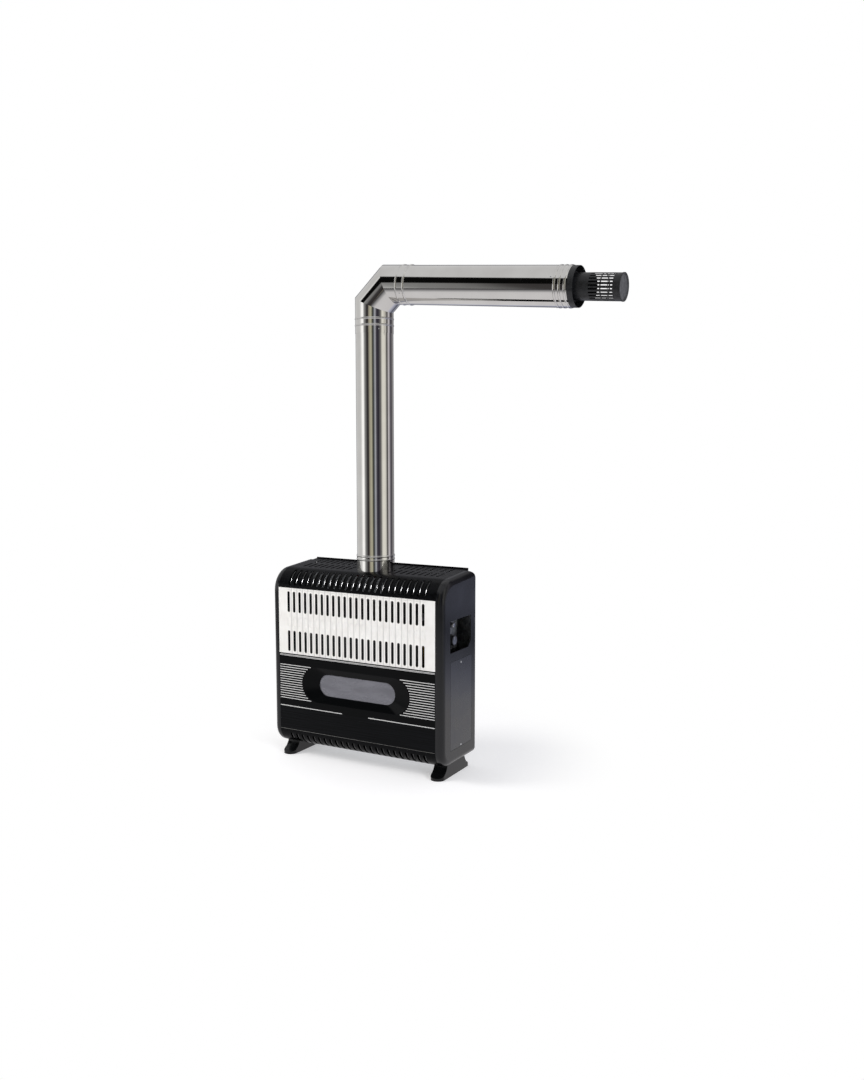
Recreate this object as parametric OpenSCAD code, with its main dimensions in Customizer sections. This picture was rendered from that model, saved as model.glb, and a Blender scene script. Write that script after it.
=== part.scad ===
// Room-sealed gas convector heater on two feet, with a concentric flue that rises from its top and turns
// outwards through the wall. Millimetres. The front faces -Y, +X is to the viewer's right and +Z is up.
// The origin is on the floor, in the plane of the casing's back, midway between its sides.

/* [Casing] */
// Width over the two side caps
casing_w = 660; // [620:10:740]
// Depth from the back of the casing to its front panels
casing_d = 230; // [226:2:250]
// Height of the sloping top at the back, over the casing's bottom
casing_h = 620; // [610:5:660]
// Clear height under the casing
foot_h = 43; // [36:1:60]
// Fall of the top towards the front, for each millimetre of its length
top_drop = 0.07584; // [0.04:0.00001:0.09]
// Radius of the upper front edge
top_r = 75; // [68:1:78]
// Radius of the lower front edge
bottom_r = 60; // [54:1:66]
// Radius of the side caps' upper back corner
cap_back_r = 30; // [24:1:36]
// Radius of the side caps' lower back corner
cap_heel_r = 12; // [11:1:18]
// Width of each side cap seen from the front
cap_w = 26; // [24:1:34]
// Rounding along the side caps' front, top and bottom edges
rim_r = 20; // [14:1:20]
// Thickness of the casing's sheet steel
sheet = 1.2; // [1:0.1:1.5]
// Depth of the folded flanges
flange = 10; // [8:1:10]
// Gap between neighbouring panels
seam = 0.5; // [0.3:0.1:0.8]
// Height of the upstand along the top's back edge
hem_h = 4; // [2:0.5:6]

/* [Upper front panel] */
// Height of the slotted panel
upper_h = 225.6; // [215:0.2:235]
// How far its top edge stands above the start of the curved top
upper_lift = 13; // [8:1:18]
// Number of slots across
slot_count = 24; // [18:2:24]
// Distance from slot to slot
slot_pitch = 22.73; // [20:0.01:23]
// Width of a slot
slot_w = 8; // [6:0.5:9]
// Length of a slot
slot_len = 69.5; // [56:0.5:74]
// Distance from the panel's top edge to the middle of the first row of slots
row_drop = 47.2; // [44:0.1:50]
// Distance between the middles of the two rows
row_gap = 134.3; // [126:0.1:138]
// Rise of the flutes over the panel's face
flute_rise = 1.6; // [1:0.1:2]
// Plain border above and below the flutes
flute_border = 5; // [4:1:8]
// Width of a dimple between the rows
dimple_w = 16; // [12:0.5:18]
// Length of a dimple
dimple_len = 34; // [26:1:40]
// Depth of a dimple below the flute's crest
dimple_depth = 2.2; // [1.8:0.1:2.6]

/* [Lower front panel] */
// Height of the panel's lower edge over the casing's bottom
lower_edge = 55; // [52:1:58]
// Distance from the panel's top edge down to the window's middle
window_drop = 97.9; // [90:0.1:106]
// Width of the window
window_w = 296; // [280:2:310]
// Height of the window
window_h = 74; // [66:1:80]
// Width of the dish pressed round the window
dish_w = 414; // [400:2:424]
// Height of the dish
dish_h = 120; // [114:1:126]
// Depth of the dish
dish_depth = 14; // [10:1:15]

/* [Grilles] */
// Rise of the louvre lips over the curved top
lip_rise = 3; // [2:0.5:4]
// Length of a slot on the flat of the top
top_slot_len = 54; // [44:1:56]
// Plain strip round the flue, to each side of its axis
flue_margin = 78; // [74:1:90]

/* [Feet] */
// Width of a foot
foot_w = 48; // [40:1:54]
// Distance from the casing's side to a foot's outer edge
foot_inset = 14; // [12:1:20]
// Length of a foot's sole
sole_len = 209; // [200:1:216]
// Distance from the back of the casing to the sole
sole_back = 4; // [2:1:10]
// Thickness of a foot's wall
foot_wall = 3; // [2.5:0.5:4]
// Height of the toes
toe_h = 9; // [7:0.5:11]

/* [Side opening and door] */
// Distance from the front to the control opening
opening_front = 52; // [48:1:58]
// Width of the control opening
opening_w = 146; // [136:1:150]
// Distance from the top's line to the control opening
opening_drop = 146; // [140:1:156]
// Height of the control opening
opening_h = 104; // [96:1:110]
// Chamfer on the opening's lower back corner
opening_chamfer = 20; // [14:1:26]
// Distance from the control opening down to the service door
door_drop = 29; // [24:1:36]
// Distance from the casing's bottom to the service door
door_z = 50; // [44:1:56]
// Width of the service door
door_w = 151; // [140:1:156]

/* [Combustion chamber] */
// Room between the combustion chamber and each side of the casing
chamber_side = 130; // [120:5:140]
// Room between the chamber's top and the top of the casing's back
chamber_head = 213; // [205:1:225]
// Height of the heat exchanger on top of the chamber
exchanger_h = 110; // [100:5:115]
// Clear height between the casing's bottom and the chamber
chamber_lift = 87; // [80:1:95]
// Thickness of the chamber's steel
chamber_t = 2; // [1.5:0.5:3]
// Radius of the burner tube
burner_r = 16; // [14:1:18]
// Number of flame ports in the burner
port_count = 24; // [16:1:30]

/* [Controls] */
// Radius of the control knob
knob_r = 20; // [18:0.5:22]
// Length of the control knob
knob_len = 20; // [16:1:22]
// Travel of the control knob when it is pressed
knob_travel = 4; // [3:0.5:4]
// Radius of the valve stem
stem_r = 4; // [3.5:0.25:5]
// Running clearance of the turning and sliding control pieces
run_gap = 0.05; // [0.02:0.01:0.1]
// Radius of the igniter button
button_r = 8; // [6:0.5:9]
// Travel of the igniter button
button_travel = 4.5; // [3:0.5:5]

/* [Flue] */
// Outer diameter of the outer flue pipe
flue_d = 125; // [115:1:128]
// Outer diameter of the inner flue pipe
inner_d = 80; // [74:1:84]
// Wall of the flue pipes
pipe_t = 0.7; // [0.6:0.1:1]
// Clearance of the push-fit flue joints
slip = 0.15; // [0.1:0.05:0.25]
// Distance from the back of the casing to the flue's axis
flue_back = 91; // [86:1:94]
// Height of the elbow's first mitre over the floor
flue_rise = 1528; // [1400:1:1700]
// Length of the elbow's middle piece along its axis
gore_len = 90; // [84:1:100]
// Fall of the outward run towards its end, in degrees
flue_fall = 4; // [2:0.5:6]
// Distance from the vertical axis to the end of the outer pipe
outer_reach = 696; // [500:1:900]
// How far the slotted terminal stands out of the outer pipe
terminal_out = 155; // [150:1:200]
// Height of the beads on the pipes
bead_h = 1.5; // [1:0.1:2]
// Number of slots round the terminal
terminal_slots = 24; // [18:1:28]

/* [Hidden] */
$fn = 96;

gloss_black = [0.05, 0.05, 0.06];
white_enamel = [0.94, 0.93, 0.9];
bright_steel = [0.78, 0.79, 0.8];
dark_steel = [0.3, 0.31, 0.33];
black_steel = [0.1, 0.1, 0.11];
brass = [0.78, 0.62, 0.3];

hair = 0.3;      // clearance between pieces that must not touch
over = 1;        // how far a cut runs past the face that it opens

// The casing's outline, in (y, z)
front_y = -casing_d;
apex_z = foot_h + casing_h;
top_fall = asin(top_drop);
toe_c = [front_y + bottom_r, foot_h + bottom_r];
heel_c = [-cap_heel_r, foot_h + cap_heel_r];
back_c = [-cap_back_r, top_z(-cap_back_r, cap_back_r)];
top_c = [front_y + top_r, top_z(front_y + top_r, top_r)];
top_a = 90 + top_fall;       // direction of the sloping top's normal
CORNERS = [
    [toe_c, bottom_r, 180, 270],
    [heel_c, cap_heel_r, 270, 360],
    [back_c, cap_back_r, 0, top_a],
    [top_c, top_r, top_a, 180]
];
cap_x = casing_w / 2 - cap_w;      // inner edge of a side cap
rim_depth = 40;                    // depth of the pieces that a cap's rounded edges are built from
panel_x = cap_x - seam;            // half the width of the panels between the caps

// Front panels
upper_top = top_c[1] + upper_lift;
upper_bottom = upper_top - upper_h;
lower_bottom = foot_h + lower_edge;
lower_top = upper_bottom - seam;
window_mid = lower_top - window_drop;
slot_x = [for (i = [0:slot_count - 1]) (i - (slot_count - 1) / 2) * slot_pitch];
flute_half = (slot_pitch - 0.9) / 2;
flute_r = (flute_half * flute_half + flute_rise * flute_rise) / (2 * flute_rise);
dimple_r = (dimple_w * dimple_w / 4 + dimple_depth * dimple_depth) / (2 * dimple_depth);
dimple_z = upper_top - row_drop - row_gap / 2;

// Grilles
curve_slot = [112, 163];     // from and to, in degrees round the curved top
toe_slot = [198, 250];       // from and to, in degrees round the lower front edge
curve_mid = (curve_slot[0] + curve_slot[1]) / 2;
lip_half = (curve_slot[1] - curve_slot[0]) / 2 + 2;
lip_shift = ((top_r + lip_rise) ^ 2 - top_r ^ 2) / (2 * (top_r + lip_rise - top_r * cos(lip_half)));
top_rows = [top_c[0] + 12 + top_slot_len / 2, top_c[0] + 26 + top_slot_len * 1.5];
grille_back = 15;            // height of the top grille's back flange
bottom_flat = 40;            // how far the bottom grille runs on under the casing

// Feet
foot_x = casing_w / 2 - foot_inset - foot_w / 2;
flare_r = foot_h + 3;
foot_bolt_y = [-sole_back - sole_len * 0.68, -sole_back - sole_len * 0.36];
foot_bolt_x = foot_x - 6;
bolt_r = 2.5;
bolt_hole_r = 2.8;

// Window, from the front backwards
clamp_y = front_y + dish_depth;
clamp_t = 1.5;
glass_y = clamp_y + clamp_t;
glass_t = 4;
seal_t = 6;
plate_y = glass_y + glass_t + seal_t;
plate_t = 3;
glass_lap = 6;
clamp_lap = 20;
window_screw_x = [-window_w * 0.36, 0, window_w * 0.36];
window_screw_z = window_h / 2 + 14;

// Combustion chamber and heat exchanger
chamber_y = plate_y + plate_t;
chamber_back = -60;
chamber_z = foot_h + chamber_lift;
chamber_x = casing_w / 2 - chamber_side;
chamber_top = apex_z - chamber_head;
exchanger_top = chamber_top + exchanger_h;
exchanger_y = [-190, -46];
throat = [2 * chamber_x - 40, 90];
throat_y = -130;
burner_y = -130;
burner_z = chamber_z + 45;
fin_count = 15;
box_top = exchanger_top + 76;
box_x = 75;
duct_y = [-152, -66];
duct_x = [-chamber_x - 68, -chamber_x - 8];
duct_low = [chamber_z + 10, chamber_z + 60];
duct_high = [exchanger_top + 14, exchanger_top + 72];

// Controls, behind the opening in the right side cap
opening_y = front_y + opening_front;
opening_top = apex_z - opening_drop + 1;
door_y = opening_y + 2;
door_gap = 0.8;
door_screw_y = door_y + door_w / 2 - 1.5;
door_low = foot_h + door_z;
door_high = opening_top - opening_h - door_drop;
door_screw_z = [door_low + 6, door_high - 11];
knob_y = opening_y + 60;
knob_z = opening_top - 73;
button_y = knob_y + 18;
button_z = knob_z + 46;
bracket_x = casing_w / 2 - 40;          // outer face of the control bracket
bracket_in = bracket_x - sheet;
knob_x = bracket_x + knob_travel + 1;
button_x = bracket_x + button_travel + 2.5;
plug_x = [bracket_in - 37, bracket_in - 7];
plug_r = [9, 12];
port_z = knob_z - 30;                   // underside of the valve, where the pipes enter
supply_port = [bracket_in - 19, knob_y + 14];
feed_port = [bracket_in - 39, burner_y];
pilot_port = [bracket_in - 19, burner_y - 2];
inlet_z = foot_h + 47;
pilot_at = [chamber_x - 50, -160, chamber_z + 85];
sensor_y = pilot_at[1] + 15;
electrode_at = [knob_y + 18, chamber_z + 105];

// Flue
flue_y = -flue_back;
outer_r = flue_d / 2;
inner_r = inner_d / 2;
socket_in = outer_r + slip;
socket_out = socket_in + pipe_t;
turn = 90 + flue_fall;                  // the elbow's whole turn
mitre = turn / 4;                       // each cut's angle off square
mid_a = turn / 2;                       // the middle gore's lean off vertical
mitre_2 = [gore_len * sin(mid_a), flue_rise + gore_len * cos(mid_a)];
bend_z = flue_rise + gore_len / 2 / cos(mid_a);     // where the two axes would meet
bend_s = gore_len / 2 / cos(mid_a);                 // from there to the second mitre
outer_end = outer_reach / cos(flue_fall);
terminal_end = outer_end + terminal_out / cos(flue_fall);
socket_low = box_top + 4;
socket_high = top_z(flue_y) + 47;
joint_low = flue_rise - 93;             // lower edge of the elbow's socket
joint_high = flue_rise - 48;            // top of the vertical pipe inside it
upper_joint = bend_s + 26;              // start of the outward pipe inside the elbow
upper_end = bend_s + 79;                // end of the elbow's upper socket
inner_bend = inner_r * 2;
inner_tangent = inner_bend * tan(mid_a);
terminal_lap = 55;                      // how far the terminal tube runs into the outer pipe
terminal_in = inner_r + 0.1;
terminal_r = terminal_in + 0.9;
slot_rings = [[-97, 35], [-58, 20], [-36, 13]];      // start from the terminal's end, and length
terminal_slot_w = 5;

function dir(a) = [cos(a), sin(a)];
// Height of the sloping top at y, or of a surface that lies inset below it
function top_z(y, inset = 0) = apex_z - inset / cos(top_fall) + y * tan(top_fall);

// ---- Shared shapes ----

// Extrudes an outline drawn in (y, z) from x0 to x1
module along_x(x0, x1) {
    translate([x0, 0, 0]) rotate([90, 0, 90]) linear_extrude(x1 - x0) children();
}

// Extrudes an outline drawn in (x, z) from y0 to y1
module along_y(y0, y1) {
    translate([0, y1, 0]) rotate([90, 0, 0]) linear_extrude(y1 - y0) children();
}

module box(low, high) {
    translate(low) cube(high - low);
}

// Rectangle with rounded corners, centred
module rounded_rect(w, h, r) {
    square([w - 2 * r, h], center = true);
    square([w, h - 2 * r], center = true);
    for (i = [-1, 1], j = [-1, 1]) translate([i * (w / 2 - r), j * (h / 2 - r)]) circle(r = r);
}

// Slot with round ends, w wide and len long, centred and upright
module slot_shape(w, len) {
    square([w, len - w], center = true);
    for (j = [-1, 1]) translate([0, j * (len - w) / 2]) circle(r = w / 2);
}

// Lying slot with round ends
module stadium(w, h) {
    rotate(90) slot_shape(h, w);
}

module tube(r_out, r_in, z0, z1) {
    translate([0, 0, z0]) difference() {
        cylinder(r = r_out, h = z1 - z0);
        translate([0, 0, -over]) cylinder(r = r_in, h = z1 - z0 + 2 * over);
    }
}

// Thin pipe from z0 to z1 with round beads at the heights in beads
module beaded_pipe(r_out, wall, z0, z1, beads) {
    rotate_extrude() {
        translate([r_out - wall, z0]) square([wall, z1 - z0]);
        for (z = beads) intersection() {
            translate([r_out, z]) circle(r = bead_h, $fn = 32);
            translate([r_out - wall, z - bead_h]) square([wall + bead_h, 2 * bead_h]);
        }
    }
}

// Round bar or tube through a list of points joined by runs along the axes, with bends of radius bend
module pipe_run(path, r, bend) {
    last = len(path) - 1;
    for (i = [0:last - 1]) {
        d = (path[i + 1] - path[i]) / norm(path[i + 1] - path[i]);
        a = path[i] + (i == 0 ? 0 : bend) * d;
        b = path[i + 1] - (i == last - 1 ? 0 : bend) * d;
        run_frame([d[1], d[2], d[0]], [d[2], d[0], d[1]], d, a) cylinder(r = r, h = norm(b - a), $fn = 32);
        if (i < last - 1) {
            e = (path[i + 2] - path[i + 1]) / norm(path[i + 2] - path[i + 1]);
            run_frame(-e, d, cross(-e, d), path[i + 1] + bend * (e - d))
                rotate_extrude(angle = 90) translate([bend, 0]) circle(r = r, $fn = 32);
        }
    }
}

// Places a shape by the directions of its own three axes
module run_frame(x, y, z, at) {
    multmatrix([
        [x[0], y[0], z[0], at[0]],
        [x[1], y[1], z[1], at[1]],
        [x[2], y[2], z[2], at[2]],
        [0, 0, 0, 1]
    ]) children();
}

module hex_prism(r, h) {
    cylinder(r = r, h = h, $fn = 6);
}

// ---- Casing ----

// Outline of the side caps in (y, z), drawn inset from the outer surface
module outline(inset = 0) {
    for (k = CORNERS) translate(k[0]) circle(r = k[1] - inset);
    polygon([for (k = CORNERS) for (a = [k[2], k[3]]) k[0] + (k[1] - inset) * dir(a)]);
}

// Outline of the panels between the caps, whose back corners are square
module skin(inset = 0) {
    translate(toe_c) circle(r = bottom_r - inset);
    translate(top_c) circle(r = top_r - inset);
    polygon(concat(
        [for (a = [180, 270]) toe_c + (bottom_r - inset) * dir(a)],
        [[-inset, foot_h + inset], [-inset, top_z(-inset, inset)]],
        [for (a = [top_a, 180]) top_c + (top_r - inset) * dir(a)]
    ));
}

module skin_sheet() {
    difference() {
        skin();
        skin(sheet);
    }
}

// The same sheet over the curved top, its inside pressed in narrow flats between the slots
module top_sheet() {
    steps = 16;
    difference() {
        skin();
        polygon(concat(
            [[top_c[0] + sheet - top_r, foot_h], [-sheet, foot_h], [-sheet, top_z(-sheet, sheet)]],
            [for (i = [0:steps]) top_c + (top_r - sheet) * dir(top_a + i * (180 - top_a) / steps)]
        ));
    }
}

// Section through a side cap's rounded edge: distance out from a corner's centre, and x
module rim_section(radius, x0, inset) {
    x1 = casing_w / 2 - inset;
    low = radius - rim_depth;
    edge = radius - inset;
    r = rim_r - inset;
    translate([low, x0]) square([edge - low, x1 - r - x0]);
    translate([low, x0]) square([edge - r - low, x1 - x0]);
    translate([edge - r, x1 - r]) intersection() {
        circle(r = r, $fn = 48);
        square(r);
    }
}

module at_corner(c, a) {
    translate([0, c[0], c[1]]) rotate([90, 0, 90]) rotate([0, 0, a]) children();
}

// What the back plane and the two back corners take off a side cap, in (y, z)
module back_cut(inset) {
    far = 200;
    ease = 0.4;     // lets each corner's arc cross the faces it joins, not just touch them
    translate([-inset, foot_h - far]) square([far, casing_h + 2 * far]);
    for (k = [CORNERS[1], CORNERS[2]]) {
        mid = (k[2] + k[3]) / 2;
        difference() {
            translate(k[0]) polygon([[0, 0], far / 2 * dir(k[2]), far * dir(mid), far / 2 * dir(k[3])]);
            translate(k[0] + ease * dir(mid)) circle(r = k[1] - inset);
        }
    }
}

// Solid block of the right side cap from x0 outwards, with its rounded edges
module cap_block(inset, x0) {
    run = 40;       // how far the edges run on past the back before it is cut
    lap = 10;       // how far the middle runs into the edges
    up = top_c[1] - toe_c[1];
    back_low = run - toe_c[0];
    back_high = (run - top_c[0]) / cos(top_fall);
    toe_core = bottom_r - rim_depth + lap;
    top_core = top_r - rim_depth + lap;
    back_end = top_c + back_high * dir(top_fall);
    difference() {
        union() {
            at_corner(toe_c, 180) rotate_extrude(angle = 90, $fn = 48) rim_section(bottom_r, x0, inset);
            intersection() {
                at_corner(top_c, 180) mirror([0, 1, 0]) rotate_extrude(angle = 90, $fn = 48)
                    rim_section(top_r, x0, inset);
                at_corner(top_c, top_a) translate([0, 0, x0 - over])
                    cube([top_r + over, top_r + over, casing_w]);
            }
            at_corner(toe_c, 180) rotate([90, 0, 0]) linear_extrude(up) rim_section(bottom_r, x0, inset);
            at_corner(toe_c, 270) translate([0, back_low, 0]) rotate([90, 0, 0])
                linear_extrude(back_low) rim_section(bottom_r, x0, inset);
            at_corner(top_c, top_a) rotate([90, 0, 0]) linear_extrude(back_high)
                rim_section(top_r, x0, inset);
            along_x(x0, casing_w / 2 - inset) polygon(concat(
                [for (a = [180, 225, 270]) toe_c + toe_core * dir(a)],
                [toe_c + [back_low, -toe_core], back_end + top_core * dir(top_a)],
                [for (a = [top_a, (top_a + 180) / 2, 180]) top_c + top_core * dir(a)]
            ));
        }
        along_x(x0 - over, casing_w / 2 + over) back_cut(inset);
    }
}

// Pressed side cap, open towards the middle, with a return flange along its front, top and bottom
module cap_shell() {
    lead = 10;      // how far everything starts short of the open side before it is cut square
    difference() {
        union() {
            difference() {
                cap_block(0, cap_x - lead);
                cap_block(sheet, cap_x - lead - over);
            }
            along_x(cap_x - lead / 2, cap_x + sheet) difference() {
                outline(sheet / 2);
                outline(flange);
                translate([-2 * flange, foot_h]) square([3 * flange, casing_h]);
            }
        }
        box([cap_x - 2 * lead, -2 * casing_d, 0], [cap_x, casing_d, 2 * casing_h]);
        for (z = casing_screw_z()) translate([cap_x + 8, -sheet - over, z]) rotate([-90, 0, 0])
            cylinder(r = 2.1, h = sheet + 2 * over);
    }
}

casing_screw_end = 75;       // from the casing's bottom or top to the nearest screw
function casing_screw_z() =
    [for (i = [0:3]) foot_h + casing_screw_end + i * (casing_h - 2 * casing_screw_end) / 3];

module left_side_cap() {
    color(gloss_black) mirror([1, 0, 0]) cap_shell();
}

module opening_shape(grow = 0) {
    y0 = opening_y - grow;
    y1 = opening_y + opening_w + grow;
    z0 = opening_top - opening_h - grow;
    z1 = opening_top + grow;
    polygon([[y0, z0], [y1 - opening_chamfer, z0], [y1, z0 + opening_chamfer], [y1, z1], [y0, z1]]);
}

module door_shape(gap) {
    translate([door_y + door_w / 2, (door_low + door_high) / 2])
        rounded_rect(door_w - 2 * gap, door_high - door_low - 2 * gap, 4);
}

module right_side_cap() {
    side = casing_w / 2;
    color(gloss_black) difference() {
        union() {
            difference() {
                cap_shell();
                along_x(side - 2 * sheet, side + over) opening_shape();
                along_x(side - 2 * sheet, side + over) door_shape(0);
            }
            // lugs that the service door is screwed to
            door_lug(door_screw_z[1] - 8, door_screw_z[1] + 25);
            door_lug(door_screw_z[0] - 20, door_screw_z[0] + 8);
        }
        for (z = door_screw_z) translate([side - 4 * sheet, door_screw_y, z]) rotate([0, 90, 0])
            cylinder(r = 2, h = 4 * sheet);
    }
}

module door_lug(z0, z1) {
    x = casing_w / 2 - sheet;
    box([x - sheet, door_screw_y - 15, z0], [x, door_screw_y + 15, z1]);
}

module service_door() {
    side = casing_w / 2;
    y0 = door_y + door_gap;
    y1 = door_y + door_w - door_gap;
    z0 = door_low + 12;
    z1 = door_high - 12;
    color(gloss_black) difference() {
        union() {
            along_x(side - sheet, side) door_shape(door_gap);
            for (y = [y0, y1 - sheet]) box([side - flange, y, z0], [side - sheet, y + sheet, z1]);
        }
        for (z = door_screw_z) translate([side - 2 * sheet, door_screw_y, z]) rotate([0, 90, 0])
            cylinder(r = 2.2, h = 4 * sheet);
    }
}

module service_door_screws() {
    side = casing_w / 2;
    color(bright_steel) for (z = door_screw_z) translate([side, door_screw_y, z]) rotate([0, 90, 0]) {
        rotate_extrude() intersection() {
            translate([0, 1.6 - 5.2]) circle(r = 5.2);
            square([3.6, 1.6]);
        }
        translate([0, 0, -9]) cylinder(r = 1.9, h = 9);
    }
}

module rear_panel() {
    w = cap_x + cap_w - 10;
    y0 = -2 * sheet;
    color(dark_steel) difference() {
        union() {
            box([-w, y0, foot_h + cap_heel_r], [w, -sheet, apex_z - cap_back_r]);
            box([-panel_x, y0, foot_h], [panel_x, -sheet, apex_z - 5]);
            for (z = rib_z()) translate([-rib_len / 2, y0, z]) rotate([0, 90, 0]) intersection() {
                cylinder(r = rib_r, h = rib_len);
                translate([-rib_r, -rib_r, 0]) cube([2 * rib_r, rib_r, rib_len]);
            }
        }
        // pressed stiffening ribs
        for (z = rib_z()) translate([-rib_len / 2 + sheet, y0, z]) rotate([0, 90, 0]) {
            cylinder(r = rib_r - sheet, h = rib_len - 2 * sheet);
            translate([sheet - rib_r, 0, 0]) cube([2 * (rib_r - sheet), 2 * sheet, rib_len - 2 * sheet]);
        }
        for (x = [-1, 1] * wall_fix[0] / 2, z = wall_fix_z) through_back(x, z, wall_hole_r);
        through_back(supply_port[0], inlet_z, 22);
        for (i = [-1, 1], z = casing_screw_z()) through_back(i * (cap_x + 8), z, 2.1);
    }
}

wall_hole_r = 3.5;
wall_fix = [440, 370];
wall_fix_z = [foot_h + 107, foot_h + 107 + wall_fix[1]];
rib_len = 480;
rib_r = 6;
rib_lift = 190;
rib_fall = 220;
function rib_z() = [foot_h + rib_lift, apex_z - rib_fall];

module through_back(x, z, r) {
    translate([x, -4 * sheet, z]) rotate([-90, 0, 0]) cylinder(r = r, h = 5 * sheet);
}

module casing_screws() {
    color(bright_steel) for (i = [-1, 1], z = casing_screw_z())
        translate([i * (cap_x + 8), 0, z]) rotate([-90, 0, 0]) {
            rotate_extrude() intersection() {
                translate([0, 1.5 - 5.2]) circle(r = 5.2);
                square([3.6, 1.5]);
            }
            translate([0, 0, -8]) cylinder(r = 1.9, h = 8);
        }
}

module base_tray() {
    y0 = toe_c[0] + bottom_flat + seam;
    y1 = -2 * sheet;
    color(dark_steel) difference() {
        box([-panel_x, y0, foot_h], [panel_x, y1, foot_h + flange]);
        box(
            [sheet - panel_x, y0 + sheet, foot_h + sheet],
            [panel_x - sheet, y1 - sheet, foot_h + flange + over]
        );
        for (i = [-1, 1]) foot_hole(i * foot_bolt_x, foot_bolt_y[1]);
    }
}

module foot_hole(x, y) {
    translate([x, y, foot_h - 2 * foot_wall]) cylinder(r = bolt_hole_r, h = 4 * foot_wall);
}

// Slots round a corner at every slot position, punched square to the middle of their arc
module curved_slots(c, r, range) {
    mid = (range[0] + range[1]) / 2;
    chord = 2 * r * sin((range[1] - range[0]) / 2);
    for (x = slot_x) translate([x, c[0], c[1]]) rotate([mid - 90, 0, 0]) translate([0, 0, r / 2])
        linear_extrude(r) slot_shape(slot_w, chord, $fn = 32);
}

// Pressed lips along one side of the slots, rising in the middle and running out at both ends
module curved_lips(c, r, mid, shift, rise) {
    for (x = slot_x) along_x(x + slot_w / 2, x + slot_w / 2 + sheet) translate(c) difference() {
        translate(shift * dir(mid)) circle(r = r + rise - shift);
        circle(r = r - sheet / 2);
    }
}

// Slot positions on the flat of the top that clear the flue
function flat_slot_x() = [for (x = slot_x) if (abs(x) > flue_margin) x];

module top_grille() {
    z0 = upper_top + seam;
    front_in = top_c[0] - sqrt((top_r - sheet) ^ 2 - (z0 - top_c[1]) ^ 2);
    color(gloss_black) difference() {
        union() {
            along_x(-panel_x, panel_x) {
                intersection() {
                    top_sheet();
                    polygon([
                        [front_y - over, z0], [-2 * sheet, z0], [-2 * sheet, apex_z - grille_back],
                        [over, apex_z - grille_back], [over, apex_z + over], [front_y - over, apex_z + over]
                    ]);
                }
                translate([-2 * sheet, top_z(-2 * sheet, sheet)]) square([2 * sheet, hem_h + sheet]);
                translate([front_in - sheet / 2, z0]) square([flange, sheet]);
            }
            curved_lips(top_c, top_r, curve_mid, lip_shift, lip_rise);
        }
        curved_slots(top_c, top_r, curve_slot);
        for (y = top_rows, x = flat_slot_x()) translate([x, y, top_z(y)]) rotate([top_fall, 0, 0])
            translate([0, 0, -3 * sheet]) linear_extrude(6 * sheet)
                slot_shape(slot_w, top_slot_len, $fn = 32);
        translate([0, flue_y, top_c[1]]) cylinder(r = socket_out + seam, h = casing_h);
    }
}

module bottom_grille() {
    z1 = lower_bottom - seam;
    y1 = toe_c[0] + bottom_flat;
    color(gloss_black) difference() {
        along_x(-panel_x, panel_x) {
            intersection() {
                skin_sheet();
                translate([front_y - over, foot_h - over]) square([y1 - front_y + over, z1 - foot_h + over]);
            }
            translate([front_y + sheet / 2, z1 - sheet]) square([flange, sheet]);
            translate([y1 - sheet, foot_h]) square([sheet, flange]);
        }
        curved_slots(toe_c, bottom_r, toe_slot);
        for (i = [-1, 1]) foot_hole(i * foot_bolt_x, foot_bolt_y[0]);
    }
}

// Flat panel with folded edges, open at the back
module folded_panel(z0, z1) {
    difference() {
        box([-panel_x, front_y, z0], [panel_x, front_y + flange, z1]);
        box(
            [sheet - panel_x, front_y + sheet, z0 + sheet],
            [panel_x - sheet, front_y + flange + over, z1 - sheet]
        );
    }
}

// Round-ended hollow of the dimples, as wide as a ball of radius r
module dimples(r) {
    straight = dimple_len - dimple_w;
    y = front_y - flute_rise - dimple_r + dimple_depth;
    for (x = slot_x) translate([x, y, dimple_z - straight / 2]) {
        cylinder(r = r, h = straight);
        sphere(r = r);
        translate([0, 0, straight]) sphere(r = r);
    }
}

// Plan of the flutes, set in from their outer face
module flute_plan(inset) {
    deep = 2 * flute_rise + inset;
    for (x = slot_x) intersection() {
        translate([x, front_y - flute_rise + flute_r]) circle(r = flute_r - inset);
        translate([x - slot_pitch / 2, front_y - 2 * flute_rise]) square([slot_pitch, deep + inset]);
    }
}

module upper_front_panel() {
    z0 = upper_bottom + flute_border;
    z1 = upper_top - flute_border;
    color(white_enamel) difference() {
        union() {
            difference() {
                union() {
                    folded_panel(upper_bottom, upper_top);
                    translate([0, 0, z0]) linear_extrude(z1 - z0) flute_plan(0);
                }
                translate([0, 0, z0 + sheet]) linear_extrude(z1 - z0 - 2 * sheet) flute_plan(sheet);
            }
            intersection() {
                dimples(dimple_r + sheet);
                box([-panel_x, front_y - 0.2, upper_bottom], [panel_x, front_y + flange, upper_top]);
            }
        }
        dimples(dimple_r);
        for (x = slot_x, i = [0, 1]) along_y(front_y - flange, front_y + flange)
            translate([x, upper_top - row_drop - i * row_gap]) slot_shape(slot_w, slot_len, $fn = 32);
    }
}

// Sloping sides of the dish round the window, grown by a wall
module dish(grow) {
    thin = 0.05;
    translate([0, 0, window_mid]) hull() {
        along_y(front_y - thin, front_y) stadium(dish_w + 2 * grow, dish_h + 2 * grow, $fn = 64);
        along_y(front_y + dish_depth - thin, front_y + dish_depth)
            stadium(window_w + 2 * grow, window_h + 2 * grow, $fn = 64);
    }
}

module lower_front_panel() {
    color(gloss_black) difference() {
        union() {
            folded_panel(lower_bottom, lower_top);
            intersection() {
                dish(sheet);
                box([-panel_x, front_y, lower_bottom], [panel_x, front_y + 2 * dish_depth, lower_top]);
            }
        }
        dish(0);
        translate([0, 0, window_mid]) along_y(front_y, front_y + 2 * dish_depth) stadium(window_w, window_h);
    }
}

// ---- Feet ----

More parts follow.
